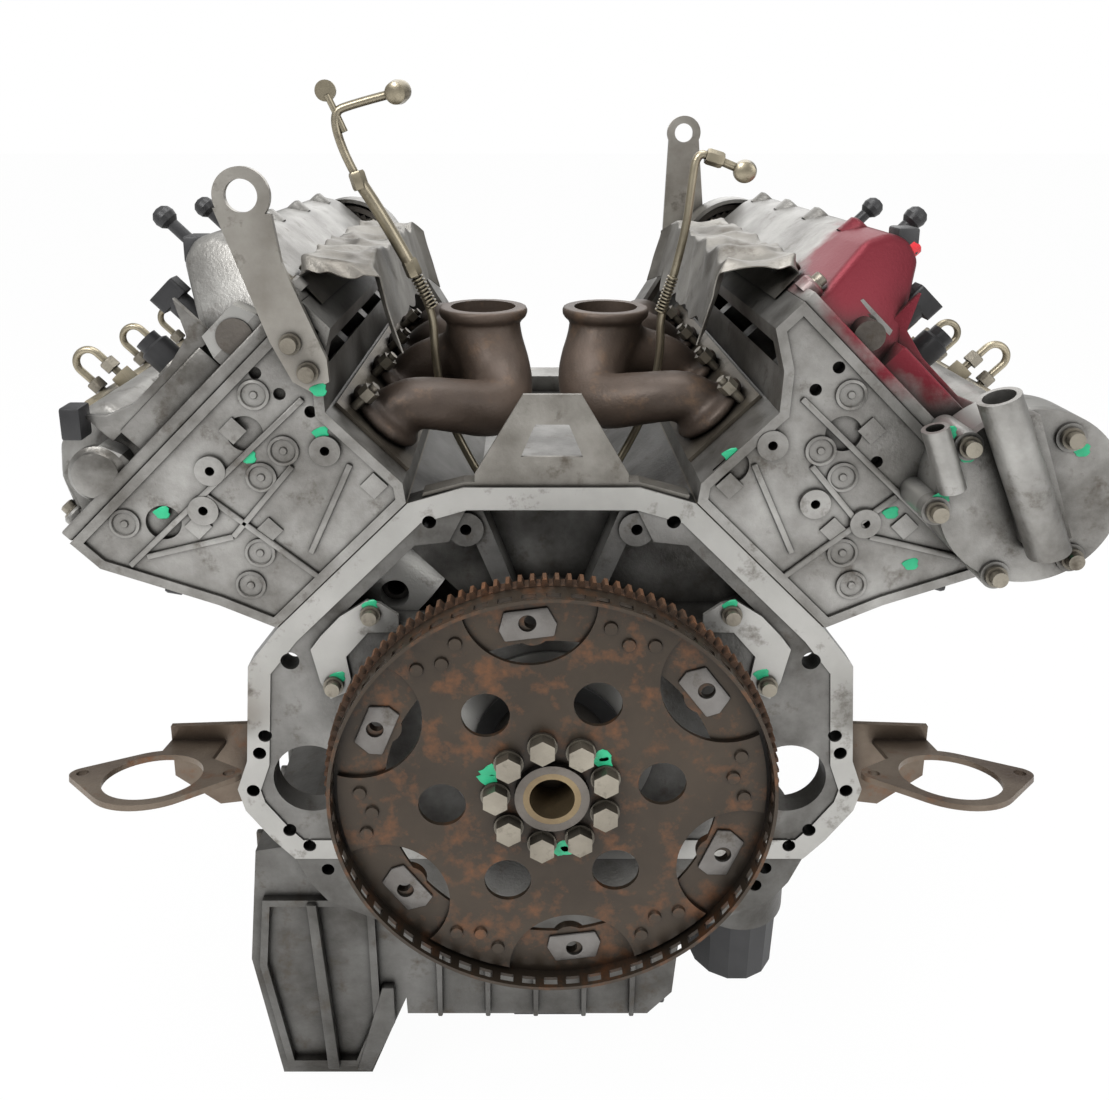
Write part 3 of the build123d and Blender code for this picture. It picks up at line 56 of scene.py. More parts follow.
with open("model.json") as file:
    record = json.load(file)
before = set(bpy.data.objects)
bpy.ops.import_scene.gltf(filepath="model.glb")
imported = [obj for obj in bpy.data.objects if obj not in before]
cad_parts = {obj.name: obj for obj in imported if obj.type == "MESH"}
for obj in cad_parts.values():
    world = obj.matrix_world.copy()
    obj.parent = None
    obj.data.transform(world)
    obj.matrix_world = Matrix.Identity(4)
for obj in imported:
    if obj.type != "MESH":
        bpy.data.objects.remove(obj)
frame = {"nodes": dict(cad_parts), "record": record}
cad_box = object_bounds()

ENGINE = "engine_frame"
CRANK = "crank"
PHOTO_WIDTH = 1109
PHOTO_HEIGHT = 1100
ROOT_TWO = math.sqrt(2)

# Sizes shared with the CAD, in millimetres
LEFT, RIGHT = -1, 1
WORDS = {LEFT: "left", RIGHT: "right"}
FIRST_PORT = {LEFT: 62, RIGHT: 82}
BORES = 4
BORE_PITCH = 98
COVER_JOINT = 364.2
FLANGE_TOP = 374
COVER_BOLT_PLACES = [(across, y) for across in (-119, 122) for y in range(24, 430, 65)]
CONVERTER_CIRCLE = 134

# Patterns of the finishes, in repeats a metre and in metres
BLACK, WHITE = (0, 0, 0), (1, 1, 1)
BLOTCHES = 14.0
STAINS = 38.0
CAST_GRAIN = 420.0
MOULD_GRAIN = 900.0
# Reach of the ambient occlusion that paints shade into corners and recesses
PAINTED_SHADE_REACH = 0.018

# Name, place, size and power of each lamp
LAMPS = (
    ("key", (-1.3, -1.5, 1.9), 1.0, 46.0),
    ("fill", (1.7, -1.3, 1.0), 1.4, 14.0),
    ("top", (0.1, 0.2, 2.3), 1.2, 24.0),
    ("back", (0.2, 2.2, 1.4), 1.8, 16.0),
)
LAMP_TARGET = (0, 0.2, 0.1)
FLOOR_SIZE = 60
FLOOR_GAP = 0.03
FLOOR_GLOW = 0.97
SENSOR_WIDTH = 36.0


class EngineFinishSettings(bpy.types.PropertyGroup):
    cast_light: bpy.props.FloatVectorProperty(
        name="Cast aluminium",
        description="Lighter tone of the castings",
        default=(0.42, 0.412, 0.392),
        subtype="COLOR",
    )
    cast_dark: bpy.props.FloatVectorProperty(
        name="Cast shade",
        description="Darker tone of the castings",
        default=(0.060, 0.056, 0.050),
        subtype="COLOR",
    )
    machined: bpy.props.FloatVectorProperty(
        name="Machined aluminium",
        description="Milled faces and plates",
        default=(0.35, 0.345, 0.325),
        subtype="COLOR",
    )
    flexplate: bpy.props.FloatVectorProperty(
        name="Flexplate steel",
        description="Oil browned disc",
        default=(0.058, 0.043, 0.030),
        subtype="COLOR",
    )
    rust: bpy.props.FloatVectorProperty(
        name="Rust",
        description="Rust on the disc, its teeth and the brackets",
        default=(0.17, 0.070, 0.028),
        subtype="COLOR",
    )
    manifold: bpy.props.FloatVectorProperty(
        name="Manifold iron",
        description="Heat stained cast iron",
        default=(0.10, 0.072, 0.055),
        subtype="COLOR",
    )
    pipe: bpy.props.FloatVectorProperty(
        name="Pipe steel",
        description="Yellowed plating of pipes",
        default=(0.42, 0.37, 0.27),
        subtype="COLOR",
    )
    mark: bpy.props.FloatVectorProperty(
        name="Paint mark",
        description="Green dabs beside bolts",
        default=(0.01, 0.32, 0.15),
        subtype="COLOR",
    )
    red: bpy.props.FloatVectorProperty(
        name="Red paint",
        description="Sprayed paint on the right cam cover",
        default=(0.16, 0.012, 0.022),
        subtype="COLOR",
    )


class EngineStudioSettings(bpy.types.PropertyGroup):
    camera_place: bpy.props.FloatVectorProperty(
        name="Camera",
        description="Place of the camera",
        default=(-0.01904, -0.63863, 0.45992),
        subtype="TRANSLATION",
    )
    camera_pitch: bpy.props.FloatProperty(
        name="Pitch",
        description="How far the camera looks down",
        default=math.radians(13.53),
        subtype="ANGLE",
    )
    focal_pixels: bpy.props.FloatProperty(
        name="Focal length",
        description="Focal length in pixels of the photograph",
        default=953.1,
        subtype="PIXEL",
    )
    centre_pixels: bpy.props.FloatVectorProperty(
        name="Optical centre",
        description="Pixel that the camera points at",
        default=(525.03, 355.91),
        size=2,
    )
    backdrop: bpy.props.FloatVectorProperty(
        name="Backdrop",
        description="Colour of the floor",
        default=(0.94, 0.94, 0.94),
        subtype="COLOR",
    )


def new_material(name):
    """Empty node material with its shader and the object's own coordinates."""
    material = bpy.data.materials.new(f"{name}_worn")
    material.use_nodes = True
    nodes = material.node_tree.nodes
    place = nodes.new("ShaderNodeTexCoord")
    return material, nodes, material.node_tree.links, nodes["Principled BSDF"], place.outputs["Object"]


def noise(nodes, links, place, scale, detail=4.0, rough=0.6):
    """Noise pattern's strength at a number of repeats a metre."""
    pattern = nodes.new("ShaderNodeTexNoise")
    pattern.inputs["Scale"].default_value = scale
    pattern.inputs["Detail"].default_value = detail
    pattern.inputs["Roughness"].default_value = rough
    links.new(place, pattern.inputs["Vector"])
    return pattern.outputs["Fac"]


def ramp(nodes, links, value, stops):
    """Colour ramp over a value: stops are position and colour pairs."""
    blend = nodes.new("ShaderNodeValToRGB")
    elements = blend.color_ramp.elements
    while len(elements) < len(stops):
        elements.new(0.5)
    for element, (position, colour) in zip(elements, stops):
        element.position = position
        element.color = (*colour, 1.0)
    links.new(value, blend.inputs["Fac"])
    return blend.outputs["Color"]


def mix(nodes, links, share, first, second):
    """Blend of two colours by a share."""
    blend = nodes.new("ShaderNodeMix")
    blend.data_type = "RGBA"
    for socket, source in ((0, share), (6, first), (7, second)):
        if isinstance(source, (tuple, float)):
            blend.inputs[socket].default_value = source if isinstance(source, float) else (*source, 1.0)
        else:
            links.new(source, blend.inputs[socket])
    return blend.outputs[2]


def relief(nodes, links, height, distance, strength, shader):
    """Surface relief from a height value."""
    bump = nodes.new("ShaderNodeBump")
    bump.inputs["Strength"].default_value = strength
    bump.inputs["Distance"].default_value = distance
    links.new(height, bump.inputs["Height"])
    links.new(bump.outputs["Normal"], shader.inputs["Normal"])


def roughness(nodes, links, value, low, high, shader):
    """Roughness that follows a pattern between two limits."""
    span = nodes.new("ShaderNodeMapRange")
    span.inputs["To Min"].default_value = low
    span.inputs["To Max"].default_value = high
    links.new(value, span.inputs["Value"])
    links.new(span.outputs["Result"], shader.inputs["Roughness"])


def corner_shade_mask(nodes, reach):
    """Ambient occlusion mask for painted shade: dark in corners, white where a surface lies free."""
    shade = nodes.new("ShaderNodeAmbientOcclusion")
    shade.samples = 6
    shade.inputs["Distance"].default_value = reach
    return shade.outputs["AO"]


def paint_patch(nodes, links, place, centre):
    """Ragged patch of overspray round a point of the piece."""
    covered, clean, raggedness = 0.125, 0.150, 0.09
    shift = nodes.new("ShaderNodeMapping")
    shift.inputs["Location"].default_value = tuple(-c for c in centre)
    links.new(place, shift.inputs["Vector"])
    reach = nodes.new("ShaderNodeVectorMath")
    reach.operation = "LENGTH"
    links.new(shift.outputs["Vector"], reach.inputs[0])
    ragged = nodes.new("ShaderNodeMath")
    ragged.operation = "MULTIPLY_ADD"
    links.new(noise(nodes, links, place, 22.0, 5.0), ragged.inputs[0])
    ragged.inputs[1].default_value = raggedness
    links.new(reach.outputs["Value"], ragged.inputs[2])
    return ramp(nodes, links, ragged.outputs["Value"], [(covered, WHITE), (clean, BLACK)])


def grimy_metal_with_painted_shade(name, light, dark, stain, metallic, rough, depth=0.0004, stain_from=0.56, patch=None):
    """Metal with blotches, stains, painted shade darkening its corners and a fine grain."""
    material, nodes, links, shader, place = new_material(name)
    # Near black copy of the dark tone, used as painted shade in corners
    painted_shade_colour = tuple(c * 0.22 for c in dark)
    blotches = noise(nodes, links, place, BLOTCHES, 6.0)
    base = ramp(nodes, links, blotches, [(0.32, dark), (0.68, light)])
    spots = noise(nodes, links, place, STAINS, 8.0, 0.7)
    stains = ramp(nodes, links, spots, [(stain_from, BLACK), (0.74, WHITE)])
    colour = mix(nodes, links, stains, base, stain)
    if patch:
        centre, paint = patch
        colour = mix(nodes, links, paint_patch(nodes, links, place, centre), colour, paint)
    # Painted shade: ambient occlusion darkens corners and recesses towards the near black tone
    free = ramp(nodes, links, corner_shade_mask(nodes, PAINTED_SHADE_REACH), [(0.35, BLACK), (0.95, WHITE)])
    colour = mix(nodes, links, free, painted_shade_colour, colour)
    links.new(colour, shader.inputs["Base Color"])
    roughness(nodes, links, blotches, rough - 0.1, rough + 0.12, shader)
    shader.inputs["Metallic"].default_value = metallic
    relief(nodes, links, noise(nodes, links, place, CAST_GRAIN, 3.0), depth, 0.7, shader)
    return material


def moulded(name, colour, rough):
    """Moulded plastic, rubber or brushed paint with a fine grain."""
    material, nodes, links, shader, place = new_material(name)
    tone = noise(nodes, links, place, 25.0)
    pale = tuple(min(1.0, c * 1.7 + 0.01) for c in colour)
    links.new(ramp(nodes, links, tone, [(0.4, colour), (0.8, pale)]), shader.inputs["Base Color"])
    roughness(nodes, links, tone, rough - 0.08, rough + 0.1, shader)
    relief(nodes, links, noise(nodes, links, place, MOULD_GRAIN), 0.0002, 0.5, shader)
    return material


def make_finishes():
    """Every finish, named as the record's material slots."""
    look = bpy.context.scene.engine_finish
    light, dark = tuple(look.cast_light), tuple(look.cast_dark)
    machined, disc, rust = tuple(look.machined), tuple(look.flexplate), tuple(look.rust)
    iron, pipe = tuple(look.manifold), tuple(look.pipe)
    brown = (0.075, 0.060, 0.044)
    mid = tuple(c * 0.62 for c in light)
    shade = tuple(c * 1.9 for c in dark)
    cast = {"metallic": 0.82, "rough": 0.41}
    grimy_metal_with_painted_shade("block_aluminium", mid, dark, brown, **cast)
    grimy_metal_with_painted_shade("head_aluminium", light, shade, brown, **cast)
    grimy_metal_with_painted_shade("cover_aluminium", light, shade, brown, **cast)
    grimy_metal_with_painted_shade("red_cover", light, shade, brown, 0.55, 0.42, patch=((0.268, 0.05, 0.352), tuple(look.red)))
    grimy_metal_with_painted_shade("sump_aluminium", tuple(c * 0.7 for c in mid), dark, brown, **cast)
    grimy_metal_with_painted_shade("machined_aluminium", machined, light, brown, 0.8, 0.36, depth=0.0001)
    grimy_metal_with_painted_shade("crank_steel", (0.20, 0.18, 0.16), (0.09, 0.08, 0.07), brown, 0.85, 0.36)
    grimy_metal_with_painted_shade("forged_steel", (0.24, 0.23, 0.22), (0.11, 0.10, 0.09), brown, 0.8, 0.45)
    grimy_metal_with_painted_shade("bearing_metal", (0.55, 0.47, 0.33), (0.35, 0.28, 0.18), brown, 0.8, 0.4)
    grimy_metal_with_painted_shade("bush_bronze", (0.30, 0.23, 0.13), (0.14, 0.10, 0.06), rust, 0.8, 0.38)
    moulded("seal_rubber", (0.02, 0.02, 0.02), 0.6)
    half_disc = tuple(c * 0.6 for c in disc)
    grimy_metal_with_painted_shade("flexplate_steel", disc, half_disc, rust, 0.55, 0.38, depth=0.0001, stain_from=0.50)
    grimy_metal_with_painted_shade("ring_gear_steel", rust, disc, (0.30, 0.12, 0.05), 0.35, 0.62, depth=0.0006)
    grimy_metal_with_painted_shade("fastener_steel", (0.36, 0.33, 0.27), (0.18, 0.16, 0.13), brown, 0.8, 0.38)
    grimy_metal_with_painted_shade("piston_aluminium", machined, light, brown, 0.8, 0.4)
    grimy_metal_with_painted_shade("gasket_steel", (0.28, 0.25, 0.20), (0.12, 0.10, 0.08), brown, 0.8, 0.4)
    grimy_metal_with_painted_shade("chain_steel", (0.22, 0.20, 0.18), (0.08, 0.07, 0.06), brown, 0.8, 0.4)
    grimy_metal_with_painted_shade("manifold_iron", iron, tuple(c * 0.5 for c in iron), (0.15, 0.095, 0.06), 0.4, 0.48)
    grimy_metal_with_painted_shade("shield_aluminium", (0.34, 0.325, 0.295), (0.10, 0.09, 0.075), brown, 0.8, 0.42)
    moulded("filter_cap_plastic", (0.016, 0.016, 0.017), 0.5)
    moulded("filter_paper", (0.50, 0.38, 0.18), 0.8)
    moulded("black_plastic", (0.015, 0.015, 0.016), 0.42)
    grimy_metal_with_painted_shade("pipe_steel", pipe, tuple(c * 0.45 for c in pipe), brown, 0.85, 0.32, depth=0.0001)
    grimy_metal_with_painted_shade("bracket_steel", (0.22, 0.18, 0.14), (0.10, 0.07, 0.05), rust, 0.7, 0.45)
    grimy_metal_with_painted_shade("eye_steel", (0.46, 0.44, 0.40), (0.26, 0.24, 0.21), brown, 0.85, 0.34, depth=0.0001)
    moulded("green_mark", tuple(look.mark), 0.4)
    moulded("red_plug", (0.45, 0.012, 0.02), 0.4)


def bank(side, height, across, y):
    """Point in metres at a height along a bank's axis and a distance across it."""
    return Vector((side * (height + across) / ROOT_TWO, y, (height - across) / ROOT_TWO)) / 1000


def metres(x, y, z):
    """Point given in millimetres."""
    return Vector((x, y, z)) / 1000


def clear():
    bpy.ops.object.select_all(action="DESELECT")


def only(piece):
    """Select one piece alone and make it active."""
    clear()
    piece.select_set(True)
    bpy.context.view_layer.objects.active = piece


def dress(piece, name, slot, finish=None, body=ENGINE, angle=35):
    """Name, place, finish and body of a finished piece."""
    only(piece)
    bpy.ops.object.transform_apply(location=True, rotation=True, scale=True)
    bpy.ops.object.shade_smooth_by_angle(angle=math.radians(angle))
    piece.name = name
    piece.data.name = name
    piece.data.materials.clear()
    piece.data.materials.append(bpy.data.materials[f"{finish or slot}_worn"])
    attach(piece, body)
    return piece


def bevelled(piece, width, segments=2, angle=40):
    """Rounded edges, applied."""
    only(piece)
    edge = piece.modifiers.new("edges", "BEVEL")
    edge.width = width / 1000
    edge.segments = segments
    edge.limit_method = "ANGLE"
    edge.angle_limit = math.radians(angle)
    bpy.ops.object.modifier_apply(modifier="edges")
    return piece


def flat_outline(outline, y):
    """Flat face with a corner at each x, z point in millimetres, open for editing."""
    clear()
    bpy.ops.mesh.primitive_circle_add(vertices=len(outline), radius=0.05, fill_type="NGON")
    piece = bpy.context.object
    for vertex, (x, z) in zip(piece.data.vertices, outline):
        vertex.co = metres(x, y, z)
    bpy.ops.object.mode_set(mode="EDIT")
    bpy.ops.mesh.select_all(action="SELECT")
    return piece


def extrude_along(distance):
    """Extrude the selected faces along the engine by millimetres."""
    bpy.ops.mesh.extrude_region_move(TRANSFORM_OT_translate={"value": (0, distance / 1000, 0)})


def close_edit():
    """Point every face outward and leave the editing."""
    bpy.ops.mesh.select_all(action="SELECT")
    bpy.ops.mesh.normals_make_consistent(inside=False)
    bpy.ops.object.mode_set(mode="OBJECT")


def plate(outline, y_from, y_to, bevel=0.0):
    """Outline of x, z points in millimetres, extruded along the engine."""
    piece = flat_outline(outline, y_from)
    extrude_along(y_to - y_from)
    close_edit()
    return bevelled(piece, bevel) if bevel else piece


def bank_plate(side, outline, y_from, y_to, bevel=0.0):
    """Plate whose outline is given as across, height points of a bank."""
    flat = [bank(side, height, across, 0) * 1000 for across, height in outline]
    return plate([(p.x, p.z) for p in flat], y_from, y_to, bevel)


def turned(profile, sides=32):
    """Turned piece standing on its base: profile of radius and height pairs in millimetres."""
    clear()
    bpy.ops.mesh.primitive_circle_add(vertices=sides, radius=profile[0][0] / 1000, fill_type="NGON")
    piece = bpy.context.object
    bpy.ops.object.mode_set(mode="EDIT")
    bpy.ops.mesh.select_all(action="SELECT")
    bpy.ops.transform.translate(value=(0, 0, profile[0][1] / 1000))
    for (r_from, h_from), (r_to, h_to) in zip(profile, profile[1:]):
        bpy.ops.mesh.extrude_region_move(TRANSFORM_OT_translate={"value": (0, 0, (h_to - h_from) / 1000)})
        share = r_to / r_from
        bpy.ops.transform.resize(value=(share, share, 1), center_override=(0, 0, h_to / 1000))
    close_edit()
    return piece


def rim_plate(outline, width, y_from, y_to):
    """Flat rim of one width that follows an outline, extruded along the engine."""
    piece = flat_outline(outline, y_from)
    bpy.ops.mesh.inset(thickness=width / 1000)
    bpy.ops.mesh.delete(type="ONLY_FACE")
    bpy.ops.mesh.select_all(action="SELECT")
    extrude_along(y_to - y_from)
    close_edit()
    return piece


def block(centre, size, bevel=1.0):
    """Small moulded or cast block with rounded edges, in millimetres."""
    clear()
    bpy.ops.mesh.primitive_cube_add(size=1, location=metres(*centre), scale=metres(*size))
    bpy.ops.object.transform_apply(location=True, rotation=True, scale=True)
    return bevelled(bpy.context.object, bevel)


def pointed(piece, origin, direction):
    """Stand a piece at a point with its axis along a direction."""
    turn = Vector(direction).to_track_quat("Z", "Y").to_matrix().to_4x4()
    piece.data.transform(Matrix.Translation(Vector(origin)) @ turn)
    return piece


def joined(pieces):
    """Several meshes made one object."""
    clear()
    for piece in pieces:
        piece.select_set(True)
    bpy.context.view_layer.objects.active = pieces[0]
    if len(pieces) > 1:
        bpy.ops.object.join()
    return bpy.context.view_layer.objects.active


def repeated(piece, places):
    """One mesh of a piece's copies, each at an origin, along a direction."""
    copies = []
    for origin, direction in places:
        copy = piece.copy()
        copy.data = piece.data.copy()
        pointed(copy, origin, direction)
        bpy.context.scene.collection.objects.link(copy)
        copies.append(copy)
    bpy.data.objects.remove(piece)
    return joined(copies)


def tube(points, radii):
    """Round tube along a smooth line through control points in millimetres."""
    clear()
    bpy.ops.curve.primitive_nurbs_path_add()
    line = bpy.context.object.data
    line.splines.clear()
    spline = line.splines.new("NURBS")
    spline.points.add(len(points) - 1)
    if not isinstance(radii, list):
        radii = [radii] * len(points)
    for control, point, radius in zip(spline.points, points, radii):
        control.co = (*metres(*point), 1.0)
        control.radius = radius / radii[0]
    spline.order_u = 3
    spline.use_endpoint_u = True
    spline.resolution_u = 8
    line.bevel_depth = radii[0] / 1000
    line.bevel_resolution = 5
    line.use_fill_caps = True
    bpy.ops.object.convert(target="MESH")
    piece = bpy.context.object
    bpy.ops.object.mode_set(mode="EDIT")
    bpy.ops.mesh.select_all(action="SELECT")
    bpy.ops.mesh.remove_doubles(threshold=0.00005)
    close_edit()
    return piece


def cast_together(pieces, voxel, smooth):
    """Several solids blended into one casting with soft inner corners."""
    casting = joined(pieces)
    only(casting)
    shell = casting.modifiers.new("shell", "REMESH")
    shell.mode = "VOXEL"
    shell.voxel_size = voxel / 1000
    bpy.ops.object.modifier_apply(modifier="shell")
    soften = casting.modifiers.new("soften", "SMOOTH")
    soften.iterations = smooth
    soften.factor = 0.5
    bpy.ops.object.modifier_apply(modifier="soften")
    return casting


def cut(piece, tool):
    """Take one solid out of another."""
    only(piece)
    saw = piece.modifiers.new("cut", "BOOLEAN")
    saw.operation = "DIFFERENCE"
    saw.solver = "EXACT"
    saw.object = tool
    bpy.ops.object.modifier_apply(modifier="cut")
    bpy.data.objects.remove(tool)
    return piece


class ENGINE_OT_finish_castings(bpy.types.Operator):
    """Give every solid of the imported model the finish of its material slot"""

    bl_idname = "engine.finish_castings"
    bl_label = "Finish castings"

    def execute(self, context):
        make_finishes()
        own = {"cam_cover_right": "red_cover", "lifting_eyes": "eye_steel"}
        for row in frame["record"]["subparts"]:
            solid = frame["nodes"][row["node"]]
            solid.data.materials.clear()
            finish = own.get(row["node"], row["material_slot"])
            solid.data.materials.append(bpy.data.materials[f"{finish}_worn"])
        return {"FINISHED"}


class ENGINE_OT_exhaust_manifolds(bpy.types.Operator):
    """Cast elbows: four runners a side that swell into one upright outlet with a clamp flange"""

    bl_idname = "engine.exhaust_manifolds"
    bl_label = "Exhaust manifolds"

    def execute(self, context):
        for side, outlet in ((LEFT, (-54, 146, 314)), (RIGHT, (50, 166, 310))):
            self.cast_elbow(side, outlet)
        return {"FINISHED"}

    def cast_elbow(self, side, outlet):
        """One side's manifold, bored at its outlet."""
        ports = [FIRST_PORT[side] + BORE_PITCH * k for k in range(BORES)]
        out_x, out_y, out_z = outlet
        neck = [(out_x, out_y - 2, out_z - 24), (out_x, out_y, out_z - 2)]
        port_x, port_z = side * 129.4, 241.1
        bulge = out_x - side * 14
        near = [
            (port_x, ports[0], port_z),
            (port_x - side * 16, ports[0], 256),
            (port_x - side * 50, ports[0] + 4, 252),
            (bulge - side * 2, ports[0] + 26, 240),
            (bulge, out_y - 20, 258),
        ]
        second = [
            (port_x, ports[1], port_z),
            (port_x - side * 18, ports[1], 260),
            (port_x - side * 48, ports[1] - 6, 270),
            (out_x + side * 8, out_y + 2, 270),
        ]
        third = [
            (port_x, ports[2], port_z),
            (port_x - side * 18, ports[2], 260),
            (port_x - side * 42, ports[2] - 24, 268),
            (out_x + side * 8, out_y + 30, 268),
        ]
        last = [
            (port_x, ports[3], port_z),
            (port_x - side * 18, ports[3] - 4, 260),
            (port_x - side * 34, ports[3] - 54, 268),
            (port_x - side * 44, ports[3] - 114, 268),
            (out_x + side * 10, out_y + 30, 268),
        ]
        parts = [
            tube(near + neck, [19, 20, 21, 24, 29, 31, 31]),
            tube(second + neck, [19, 20, 21, 28, 31, 31]),
            tube(third + neck, [19, 20, 22, 27, 31, 31]),
            tube(last + neck, [19, 20, 21, 22, 26, 31, 31]),
        ]
        for y in ports:
            flange = turned([(30, 0), (32, 2), (32, 8), (27, 11)], 24)
            parts.append(pointed(flange, bank(side, 262, -79, y), (-side, 0, 1)))
        elbow = cast_together(parts, 3.4, 5)
        lip = turned([(31, -12), (35, -9), (36.5, -7), (37, -5), (37, -1.6), (36, 0)], 48)
        pointed(lip, metres(*outlet), (0, 0, 1))
        elbow = cast_together([elbow, lip], 1.9, 2)
        bore = turned([(22, -60), (27, -26), (27, 10)], 48)
        cut(elbow, pointed(bore, metres(*outlet), (0, 0, 1)))
        dress(elbow, f"manifold_casting_{WORDS[side]}", "manifold_iron", angle=50)
        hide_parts(f"exhaust_manifold_{WORDS[side]}")


class ENGINE_OT_heat_shields(bpy.types.Operator):
    """Crumpled aluminium sheets over the runners, dented along their folds"""

    bl_idname = "engine.heat_shields"
    bl_label = "Heat shields"

    def execute(self, context):
        sheets = [self.crumpled(side, start) for side, start in ((LEFT, 22), (RIGHT, 42))]
        shields = dress(joined(sheets), "crumpled_shields", "shield_aluminium", angle=60)
        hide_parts("heat_shields")
        return {"FINISHED"}

    def crumpled(self, side, start):
        """One side's sheet: a bent grid, dented by noise and given its thickness."""
        fold = [(-124.5, 354), (-125.5, 379), (-136, 391), (-170, 356), (-152, 326), (-141, 306)]
        length, margin, curled_rim = 300, 2, 16
        held_width, loose_after = 26, 20
        waves = 0.022
        clear()
        bpy.ops.mesh.primitive_grid_add(x_subdivisions=60, y_subdivisions=90, size=1)
        sheet = bpy.context.object
        reach = [0.0]
        for (a, b), (c, d) in zip(fold, fold[1:]):
            reach.append(reach[-1] + math.hypot(c - a, d - b))
        for vertex in sheet.data.vertices:
            along = (vertex.co.x + 0.5) * reach[-1]
            y = start + margin + (vertex.co.y + 0.5) * (length - 2 * margin)
            leg = max(k for k in range(len(fold) - 1) if reach[k] <= along + 1e-6)
            share = (along - reach[leg]) / (reach[leg + 1] - reach[leg])
            across = fold[leg][0] + share * (fold[leg + 1][0] - fold[leg][0])
            height = fold[leg][1] + share * (fold[leg + 1][1] - fold[leg][1])
            free = min(1.0, max(0.0, along - held_width) / loose_after)
            place = Vector((along * waves, y * waves, side))
            dent = ripple.noise(place * 0.9) * 11 + ripple.noise(place * 2.2) * 2.6
            crease = abs(ripple.noise(place * 1.3 + Vector((7, 0, 0)))) * 10
            inward = -free * abs(dent) - free * crease
            across -= inward * 0.35
            height += inward * 0.9
            edge = min(y - start, start + length - y)
            if edge < curled_rim:
                height -= free * (curled_rim - edge) * 0.9
            vertex.co = bank(side, height, across, y)
        bpy.ops.object.mode_set(mode="EDIT")
        close_edit()
        wall = sheet.modifiers.new("wall", "SOLIDIFY")
        wall.thickness = 0.0009
        bpy.ops.object.modifier_apply(modifier="wall")
        return sheet


class ENGINE_OT_feed_lines(bpy.types.Operator):
    """Oil feed lines with banjo ends, a braided sleeve and a corrugated length"""

    bl_idname = "engine.feed_lines"
    bl_label = "Oil feed lines"

    def execute(self, context):
        pipe, sleeve = 3.4, 5.2
        left = [(-114, 100, 485), (-150, 100, 476), (-164, 100, 470), (-157, 100, 440), (-146, 100, 420)]
        braid = [(-146, 100, 420), (-128, 102, 392), (-108, 106, 352)]
        lower = [(-108, 106, 352), (-92, 112, 318), (-93, 116, 280), (-84, 118, 220), (-46, 112, 158)]
        right = [(152, 116, 426), (128, 116, 436), (114, 116, 441), (111, 116, 415), (108, 116, 380)]
        right.append((100, 118, 345))
        right_low = [(100, 118, 345), (90, 122, 312), (94, 130, 280), (84, 134, 220), (46, 128, 158)]
        parts = [tube(left, pipe), tube(braid, sleeve)]
        parts += [tube(path, pipe) for path in (lower, right, right_low)]
        for radius, path in ((5.2, lower), (4.6, right_low)):
            start, end = metres(*path[0]), metres(*path[1])
            run = (end - start) / 12
            ring = turned([(3.2, -1.3), (radius, -0.5), (radius, 0.5), (3.2, 1.3)], 20)
            parts.append(repeated(ring, [(start + run * (k + 1), run) for k in range(11)]))
        banjo = turned([(5.5, -8.5), (8.2, -6.5), (9.2, 0), (8.2, 6.5), (5.5, 8.5)], 32)
        ends = [(metres(*left[0]), (0.3, 1, 0.2)), (metres(*right[0]), (0.2, 1, 0.1))]
        parts.append(repeated(banjo, ends))
        ferrule = turned([(5.6, -7), (6.4, -5), (6.4, 5), (5.6, 7)], 6)
        places = [
            (metres(*braid[0]), (-0.3, 0, 1)),
            (metres(*braid[-1]), (-0.4, 0, 1)),
            (metres(*right[1]), (1, 0, -0.3)),
        ]
        parts.append(repeated(ferrule, places))
        tab = turned([(8, -1.2), (8, 1.2)], 24)
        parts.append(pointed(tab, metres(-168, 99, 486), (0, 1, 0)))
        parts.append(tube([(-155, 100, 456), (-162, 100, 472), (-167, 99, 483)], 2.6))
        lines = dress(joined(parts), "feed_lines", "pipe_steel", angle=40)
        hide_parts("oil_feed_lines")
        return {"FINISHED"}


